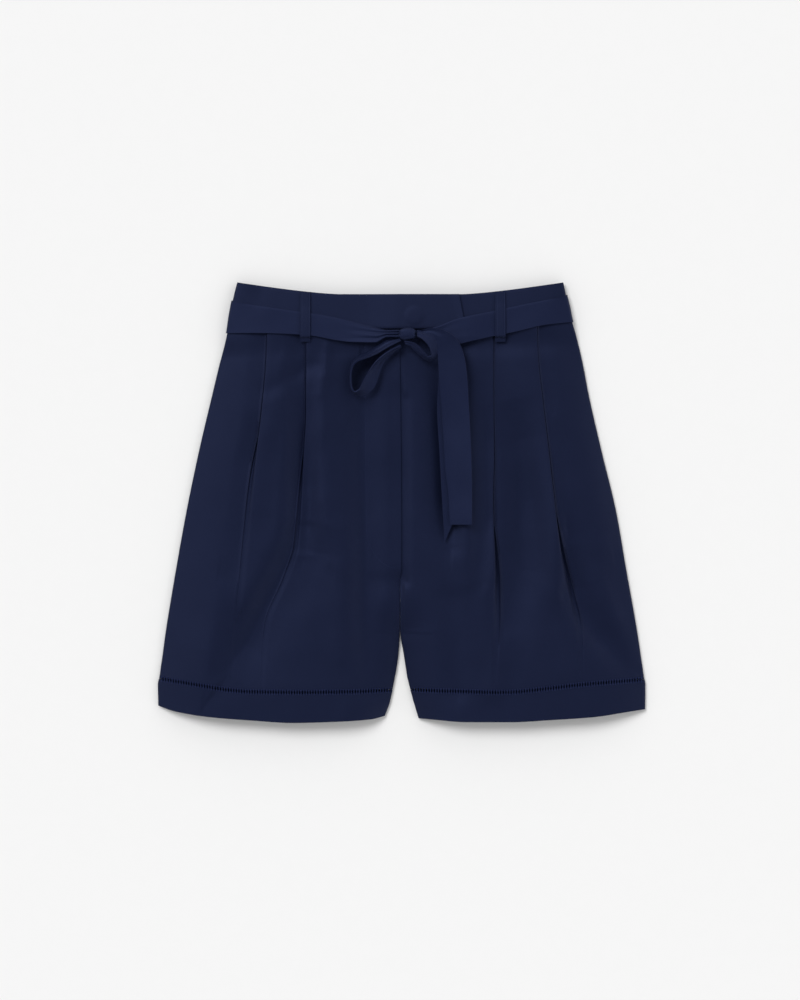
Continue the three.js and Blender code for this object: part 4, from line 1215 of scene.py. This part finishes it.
def strip(middle_x, places):
    """A strip of even width along a line of (y, z) places, thinner along its two stitch lines."""
    count = len(places)
    line = table("step y z", *[(step, y, z) for step, (y, z) in enumerate(places)])
    at = np.linspace(0, count - 1, 70)
    out = np.linspace(-LOOP_WIDTH / 2, LOOP_WIDTH / 2, 29)[:, None]
    groove = -0.16 * np.exp(-(((np.abs(out) - 3.9) / 0.5) ** 2)) + 0 * at
    y = read(line, "y", at)[None] + 0 * out
    z = read(line, "z", at)[None] + groove
    return np.stack([middle_x + out + 0 * at, y, z], axis=2)


def front_loop(leg, middle_x, data):
    """The heights of a loop: on the band, over the belt, and down on the panel below."""
    on_band = lambda y: float(waistband_z(middle_x, y)) + WAISTBAND / 2 + GAP + LOOP_STRIP / 2 + 0.25
    over = BELT_LIFT + BELT_WALL / 2 + GAP + LOOP_STRIP / 2 + 0.25
    over_belt = lambda y: float(waistband_z(middle_x, y)) + over
    on_panel = lambda y: float(front_z(leg, middle_x, y)) + 1.4 + CLOTH / 2 + GAP + LOOP_STRIP / 2
    belt_top = float(read(data, "top", middle_x)) + 2.4
    belt_foot = float(read(data, "bottom", middle_x)) - 1.8
    middle_y = (belt_top + belt_foot) / 2
    top = float(waist_top_y(middle_x)) - 0.4
    return strip(middle_x, [
        (top, on_band(top)),
        (belt_top + 4.2, on_band(belt_top)),
        (belt_top - 1.2, over_belt(belt_top) - 0.15),
        (middle_y, over_belt(middle_y) + 0.4),
        (belt_foot + 0.8, over_belt(belt_foot)),
        (belt_foot - 1.6, on_panel(belt_foot - 1.6) + 0.4),
        (LOOP_FOOT_Y, on_panel(LOOP_FOOT_Y)),
    ])


def back_loop(middle_x):
    """A loop of the back: flat on the table over the belt, and on the band above it."""
    top = float(waist_top_y(middle_x)) - 0.4
    belt_top = float(belt_y(BELT_BACK)(middle_x, 0))
    raised = WAISTBAND_BACK_Z - WAISTBAND / 2 - GAP - LOOP_STRIP / 2
    return strip(middle_x, [
        (top, raised),
        (belt_top + 2.4, raised),
        (belt_top + 0.8, LOOP_STRIP / 2),
        (175.0, LOOP_STRIP / 2),
    ])


loops = {
    "belt_loop_front_right": front_loop("right", -102.4, BELT_RIGHT),
    "belt_loop_front_left": front_loop("left", 105.0, BELT_LEFT),
}
loops.update({f"belt_loop_back_{n + 1}": back_loop(x) for n, x in enumerate((-112.0, 0.0, 112.0))})
for node, grid in loops.items():
    cloth_piece(node, grid, LOOP_STRIP, SHELL_CLOTH)

# %% [markdown]
# ## Bow
# A bow is one ribbon: it leaves the knot, turns back to it as a loop that stands on its edge, and
# passes out again as a hanging end. Each stretch is a surface between two rails, the near edge
# and the far edge of the ribbon. Gathers at the knot are waves across the ribbon again.

# %% Ribbons of the bow
BOW_RIGHT = table(
    "step x y z foot_x foot_y foot_z",
    (0, -0.6, 171, 21.6, -2.2, 173.6, 17),
    (1, -12.2, 165.2, 24.5, -14.7, 172, 17.2),
    (2, -27.1, 156.7, 26, -24.5, 166.8, 15.8),
    (3, -38.5, 152.3, 26.6, -36, 159.8, 13.9),
    (4, -46.6, 149.4, 26.6, -45.4, 154.8, 13.4),
    (5, -52.1, 143.4, 26.2, -52.6, 147.6, 13.2),
    (6, -53.8, 133.3, 25.6, -55, 134, 13.2),
    (7, -53.2, 123.7, 25.4, -54.2, 121.6, 14.6),
    (8, -49.6, 117, 25.6, -45.6, 112.8, 16.4),
    (9, -45.2, 119.2, 26, -37.2, 115, 17.8),
    (10, -40, 129.6, 26, -28.2, 123, 18.4),
    (11, -34, 139.8, 25.8, -24, 135, 18.2),
    (12, -25.8, 150.6, 25.4, -19.8, 146.6, 17.6),
    (13, -12, 161.4, 23.6, -9.2, 158.2, 16.4),
    (14, -1.2, 166.8, 22.6, 0.2, 164.4, 17.4),
)
BOW_LEFT = table(
    "step x y z foot_x foot_y foot_z",
    (0, 3.2, 171, 22.4, 4.2, 167.2, 20.6),
    (1, 12, 169.6, 25, 9.4, 165, 20.4),
    (2, 19.2, 164.6, 26.2, 14.4, 160.6, 19.8),
    (3, 24.6, 158.4, 26.4, 20, 155.4, 19.4),
    (4, 28.6, 154.2, 26.4, 28.6, 150.4, 19),
    (5, 31.6, 156, 26.4, 36.2, 152.6, 19.2),
    (6, 29.6, 163.2, 26.4, 38.4, 161.4, 20.2),
    (7, 25.2, 169.4, 26.2, 37.2, 171.8, 21.2),
    (8, 20.4, 173.4, 25.4, 30, 178.6, 21.2),
    (9, 16.4, 175.4, 24.4, 17, 181.8, 21.2),
)
TAIL_FRONT = table(
    "step lx ly rx ry",
    (0, 17, 175.2, 17.2, 182),
    (1, 26, 172.4, 34, 184.6),
    (2, 33.4, 166.4, 50.4, 179.4),
    (3, 38, 158, 61.6, 167.4),
    (4, 38.9, 147.2, 67.4, 150.2),
    (5, 40, 130, 69.8, 131),
    (6, 42, 106.7, 71.2, 107.2),
    (7, 44.4, 70, 73.2, 70.4),
    (8, 46.6, 34.4, 74.4, 34.4),
    (9, 50, 6, 74.8, 6),
    (10, 51.2, -23.7, 74.7, -23.7),
)
TAIL_BACK = table(
    "step lx ly rx ry",
    (0, 17, 175.4, 17.2, 181.6),
    (1, 26.6, 172.2, 33, 182.8),
    (2, 34, 166.4, 48.4, 177.6),
    (3, 38.4, 158, 58.6, 166.2),
    (4, 39.4, 147, 63, 150),
    (5, 38.6, 122, 65, 123),
    (6, 37.8, 98, 65.6, 99),
    (7, 40.4, 50, 67.4, 52),
    (8, 43, 2, 68.6, 26),
    (9, 45.8, -42, 66, 4),
)


def along_steps(data, columns, per_step):
    """Smooth readings of some columns, at even parts of a table's steps."""
    last = len(data["step"]) - 1
    at = np.linspace(0, last, last * per_step + 1)
    return [read(data, column, at)[None] for column in columns.split()]


def bow_ribbon(data, per_step, bend, gathers):
    """A ribbon between its near and far rail, bowed out along its middle, with gathers that fade
    out over the first and last third of its length."""
    x, y, z, foot_x, foot_y, foot_z = along_steps(data, "x y z foot_x foot_y foot_z", per_step)
    share = np.linspace(0, 1, 33)[:, None]
    grid = np.stack([mix(x, foot_x, share), mix(y, foot_y, share), mix(z, foot_z, share)], axis=2)
    run = np.linspace(0, 1, x.shape[1])[None]
    ends = ease(1 - run / 0.3) + ease(1 - (1 - run) / 0.3)
    push = bend * (1 - (2 * share - 1) ** 2) * np.sin(math.pi * run)
    push = push + gathers * ends * np.sin(2 * math.pi * 1.8 * share + 2 * run)
    return grid + grid_normals(grid) * push[..., None]


# How far the front ribbon stands off the back one, and how much more its free edge curls up
TAIL_LIFT = 1.2
TAIL_CURL = 4.8


def tail(data, layer, per_step):
    """A hanging end: over the belt at its top, and on the panel below, one layer on another. It is
    stiffer than the panel, so it spans the troughs under it. It comes down from the belt slowly,
    and the upper one curls up along its free edge."""
    lx, ly, rx, ry = along_steps(data, "lx ly rx ry", per_step)
    share = np.linspace(0, 1, 33)[:, None]
    x, y = mix(lx, rx, share), mix(ly, ry, share)
    on_belt = waistband_z(x, y) + BELT_LIFT + TAB_STEP + BELT_WALL / 2 + 0.4
    on_panel = front_z("left", x, y) + CLOTH / 2
    on_panel = mix(on_panel, on_panel.max(axis=0), 0.85)
    base = mix(on_panel, on_belt, ease((y - 70) / 100))
    run = np.linspace(0, 1, lx.shape[1])[None]
    curl = layer * (TAIL_LIFT + TAIL_CURL * share**2) * ease(run / 0.25)
    fold = 0.7 * ease(1 - run / 0.3) * (1 + np.sin(2 * math.pi * 2.2 * share + 3 * run)) / 2
    limp = 0.1 * (1 + np.sin(y / 9 + 5 * share))
    stacked = GAP + RIBBON / 2 + layer * (RIBBON + LAID_GAP)
    return np.stack([x, y, base + stacked + fold + limp + curl], axis=2)


cloth_piece(
    "bow_loop_right", bow_ribbon(BOW_RIGHT, 9, -0.7, 0.45), RIBBON,
    BELT_CLOTH_PAINTED_LIGHT,
)
cloth_piece(
    "bow_loop_left", bow_ribbon(BOW_LEFT, 11, 0.5, 0.35), RIBBON,
    BELT_CLOTH_PAINTED_LIGHT,
)
cloth_piece(
    "belt_end_back", tail(TAIL_BACK, 0, 22), RIBBON,
    BELT_CLOTH_PAINTED_LIGHT,
)
cloth_piece(
    "belt_end_front", tail(TAIL_FRONT, 1, 22), RIBBON,
    BELT_CLOTH_PAINTED_LIGHT,
)

# %% [markdown]
# ## Knot
# The knot is the ribbon wound once round the two strands and pulled tight, so it is a small soft
# lump with folds that run over it. It is a ball, squared a little, and ribbed where the turns of
# the ribbon lie side by side. A longer model of the wound ribbon would not show at this size.

# %% Knot
KNOT = (6.3, 178.4, 20.4)
KNOT_SIZE = (9.0, 6.6, 4.8)
KNOT_SQUARED = 0.76
# Gaps between turns of the ribbon: angle from the pole, depth as a share of the radius, and width
KNOT_GROOVES = ((1.15, 0.035, 0.12), (2.05, 0.04, 0.13))


def knot_grid():
    """A squared ball between two poles on the X axis. Its radius has grooves round that axis,
    which are the gaps between turns of the ribbon, and shallow folds along it."""
    pole = np.linspace(0.04, math.pi - 0.04, 61)[:, None]
    round_x = np.linspace(0, 2 * math.pi, 73)[None]
    square = lambda value: np.sign(value) * np.abs(value) ** KNOT_SQUARED
    grooves = 1 - sum(
        depth * np.exp(-(((pole - at) / width) ** 2)) for at, depth, width in KNOT_GROOVES
    )
    folds = 1 + 0.03 * np.sin(3 * round_x + 2.2 * pole) + 0.015 * np.sin(7 * round_x - 3 * pole)
    size = grooves * folds
    x = KNOT[0] + KNOT_SIZE[0] * square(np.cos(pole)) * size
    y = KNOT[1] + KNOT_SIZE[1] * square(np.sin(pole) * np.cos(round_x)) * size
    z = KNOT[2] + KNOT_SIZE[2] * square(np.sin(pole) * np.sin(round_x)) * size
    return np.stack([x + 0 * round_x, y, z], axis=2)


def closed_ball(name, grid, material):
    """A ball from a grid whose last column meets its first. Each pole is drawn to one point."""
    grid = grid[:, :-1]
    rows, columns = grid.shape[:2]
    body = grid.reshape(-1, 3)
    ends = np.stack([grid[0].mean(axis=0), grid[-1].mean(axis=0)])
    i, j = np.meshgrid(np.arange(rows - 1), np.arange(columns), indexing="ij")
    nxt = (j + 1) % columns
    side = np.stack(
        [i * columns + j, i * columns + nxt, (i + 1) * columns + nxt, (i + 1) * columns + j], -1
    )
    around = np.arange(columns)
    pair = (around + 1) % columns
    low = np.stack([np.full(columns, len(body)), pair, around, np.full(columns, len(body))], 1)[:, :3]
    last = (rows - 1) * columns
    high = np.stack([np.full(columns, len(body) + 1), last + around, last + pair], 1)
    mesh = bpy.data.meshes.new(name)
    faces = [*side.reshape(-1, 4).tolist(), *low.tolist(), *high.tolist()]
    points = np.concatenate([body, ends])
    mesh.from_pydata((points * MM).tolist(), [], faces)
    layer = mesh.uv_layers.new(name="cloth")
    corners = np.empty(len(mesh.loops), dtype=np.int32)
    mesh.loops.foreach_get("vertex_index", corners)
    layer.data.foreach_set("uv", (points[corners][:, :2] * MM).astype(np.float32).ravel())
    mesh.polygons.foreach_set("use_smooth", np.ones(len(mesh.polygons), dtype=bool))
    mesh.update()
    mesh.materials.append(material)
    piece = bpy.data.objects.new(name, mesh)
    bpy.context.scene.collection.objects.link(piece)
    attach(piece, "root")
    print(f"{name}: {len(faces)} faces")
    return piece


knot = closed_ball("cloth_belt_knot", knot_grid(), BELT_CLOTH_PAINTED_LIGHT)
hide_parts("belt_knot")

# %% [markdown]
# ## Stitches
# The fly is sewn down in a line that runs beside the front edge and curves in to the seam at its
# foot. A stitch is a short length of thread that dips into the cloth at both ends, so it is a tube
# with thin ends.

# %% Stitches
STITCH = 2.4
STITCH_SPACE = 0.7


def stitches_along(points, z_at, radius=0.18):
    """Stitches on a line through points in the plane, each a short arc over the cloth."""
    points = np.array(points, dtype=float)
    run = np.concatenate([[0], np.cumsum(np.hypot(*np.diff(points, axis=0).T))])
    count = int(run[-1] / (STITCH + STITCH_SPACE))
    start = np.arange(count)[:, None] * (STITCH + STITCH_SPACE)
    share = np.linspace(0, 1, 6)[None]
    at = start + share * STITCH
    x, y = np.interp(at, run, points[:, 0]), np.interp(at, run, points[:, 1])
    hump = np.sin(math.pi * share)
    z = z_at(x, y) + radius * (hump - 0.6)
    return np.stack([x, y, z], axis=2), radius * (0.35 + 0.65 * hump) + 0 * x


fly_turn = np.radians(np.linspace(0, 90, 12))
fly_line = [(-39.0, 166.0), (-37.6, -24.0)]
fly_line += [(-4.6 - 33 * math.cos(a), -24 - 46 * math.sin(a)) for a in fly_turn[1:]]


def on_front_right(x, y):
    """The face of the right front beside the fly."""
    from_middle = np.abs(x - inner_x("right", y))
    return front_z("right", x, y) + CLOTH / 2 + middle_relief("right", from_middle, y)


fly_paths, fly_radii = stitches_along(fly_line, on_front_right)
fly = tubes("fly_stitches", fly_paths, fly_radii)

# %% [markdown]
# ## Floor and light
# The shorts lie on a plain pale surface. The light is large and soft and comes from the top left
# of the picture, so only the lower and right edges throw a shadow. A sun lamp with a wide angle
# gives an even floor with the same soft edge everywhere. The world gives the light of a room
# with bright walls and a dimmer ceiling, a little brighter on the picture's right, so that the
# shadow at the right edge stays soft.

# %% Floor and light
floor_mesh = bpy.data.meshes.new("floor")
FLOOR_HALF = 12.0
FLOOR_Z = -0.0002
floor_mesh.from_pydata(
    [(-FLOOR_HALF, -FLOOR_HALF, FLOOR_Z), (FLOOR_HALF, -FLOOR_HALF, FLOOR_Z),
     (FLOOR_HALF, FLOOR_HALF, FLOOR_Z), (-FLOOR_HALF, FLOOR_HALF, FLOOR_Z)],
    [],
    [(0, 1, 2, 3)],
)
floor = bpy.data.objects.new("floor", floor_mesh)
bpy.context.scene.collection.objects.link(floor)
paper = bpy.data.materials.new("pale_paper")
paper.use_nodes = True
paper.node_tree.nodes["Principled BSDF"].inputs["Roughness"].default_value = 0.9
paper.node_tree.nodes["Principled BSDF"].inputs["Specular IOR Level"].default_value = 0.0
grain = paper.node_tree.nodes.new("ShaderNodeTexNoise")
grain.inputs["Scale"].default_value = 60.0
shade = paper.node_tree.nodes.new("ShaderNodeMapRange")
shade.inputs["To Min"].default_value = 0.835
shade.inputs["To Max"].default_value = 0.845
place = paper.node_tree.nodes.new("ShaderNodeTexCoord")
paper.node_tree.links.new(place.outputs["Object"], grain.inputs["Vector"])
paper.node_tree.links.new(grain.outputs["Fac"], shade.inputs["Value"])
paper.node_tree.links.new(
    shade.outputs["Result"], paper.node_tree.nodes["Principled BSDF"].inputs["Base Color"]
)
floor_mesh.materials.append(paper)

SUN_TILT = 42.0
SUN_FROM = 130.0
SUN_ENERGY = 1.96
OVERHEAD, AT_WALLS, FROM_RIGHT = 0.25, 1.2, 0.55
sun_data = bpy.data.lights.new("window", "SUN")
sun_data.energy = SUN_ENERGY
sun_data.angle = math.radians(30)
sun = bpy.data.objects.new("window", sun_data)
sun.rotation_euler = (0, math.radians(SUN_TILT), math.radians(SUN_FROM))
bpy.context.scene.collection.objects.link(sun)

world = bpy.data.worlds.new("room")
bpy.context.scene.world = world
world.use_nodes = True
sky_nodes, sky_links = world.node_tree.nodes, world.node_tree.links
looking = sky_nodes.new("ShaderNodeTexCoord")
parts = sky_nodes.new("ShaderNodeSeparateXYZ")
walls = sky_nodes.new("ShaderNodeMapRange")
walls.name = "walls"
walls.inputs["From Min"].default_value = 0.8
walls.inputs["From Max"].default_value = 0.15
walls.inputs["To Min"].default_value = OVERHEAD
walls.inputs["To Max"].default_value = AT_WALLS
right_wall = sky_nodes.new("ShaderNodeMapRange")
right_wall.name = "right wall"
right_wall.inputs["From Min"].default_value = 0.0
right_wall.inputs["From Max"].default_value = 0.8
right_wall.inputs["To Min"].default_value = 0.0
right_wall.inputs["To Max"].default_value = FROM_RIGHT
both = sky_nodes.new("ShaderNodeMath")
both.operation = "ADD"
sky_nodes["Background"].inputs["Color"].default_value = (1.0, 1.0, 1.0, 1.0)
sky_links.new(looking.outputs["Generated"], parts.inputs[0])
sky_links.new(parts.outputs["Z"], walls.inputs["Value"])
sky_links.new(parts.outputs["X"], right_wall.inputs["Value"])
sky_links.new(walls.outputs["Result"], both.inputs[0])
sky_links.new(right_wall.outputs["Result"], both.inputs[1])
sky_links.new(both.outputs["Value"], sky_nodes["Background"].inputs["Strength"])
bpy.context.scene.view_settings.view_transform = "Standard"
print("light from", SUN_FROM, "degrees, tilted", SUN_TILT)
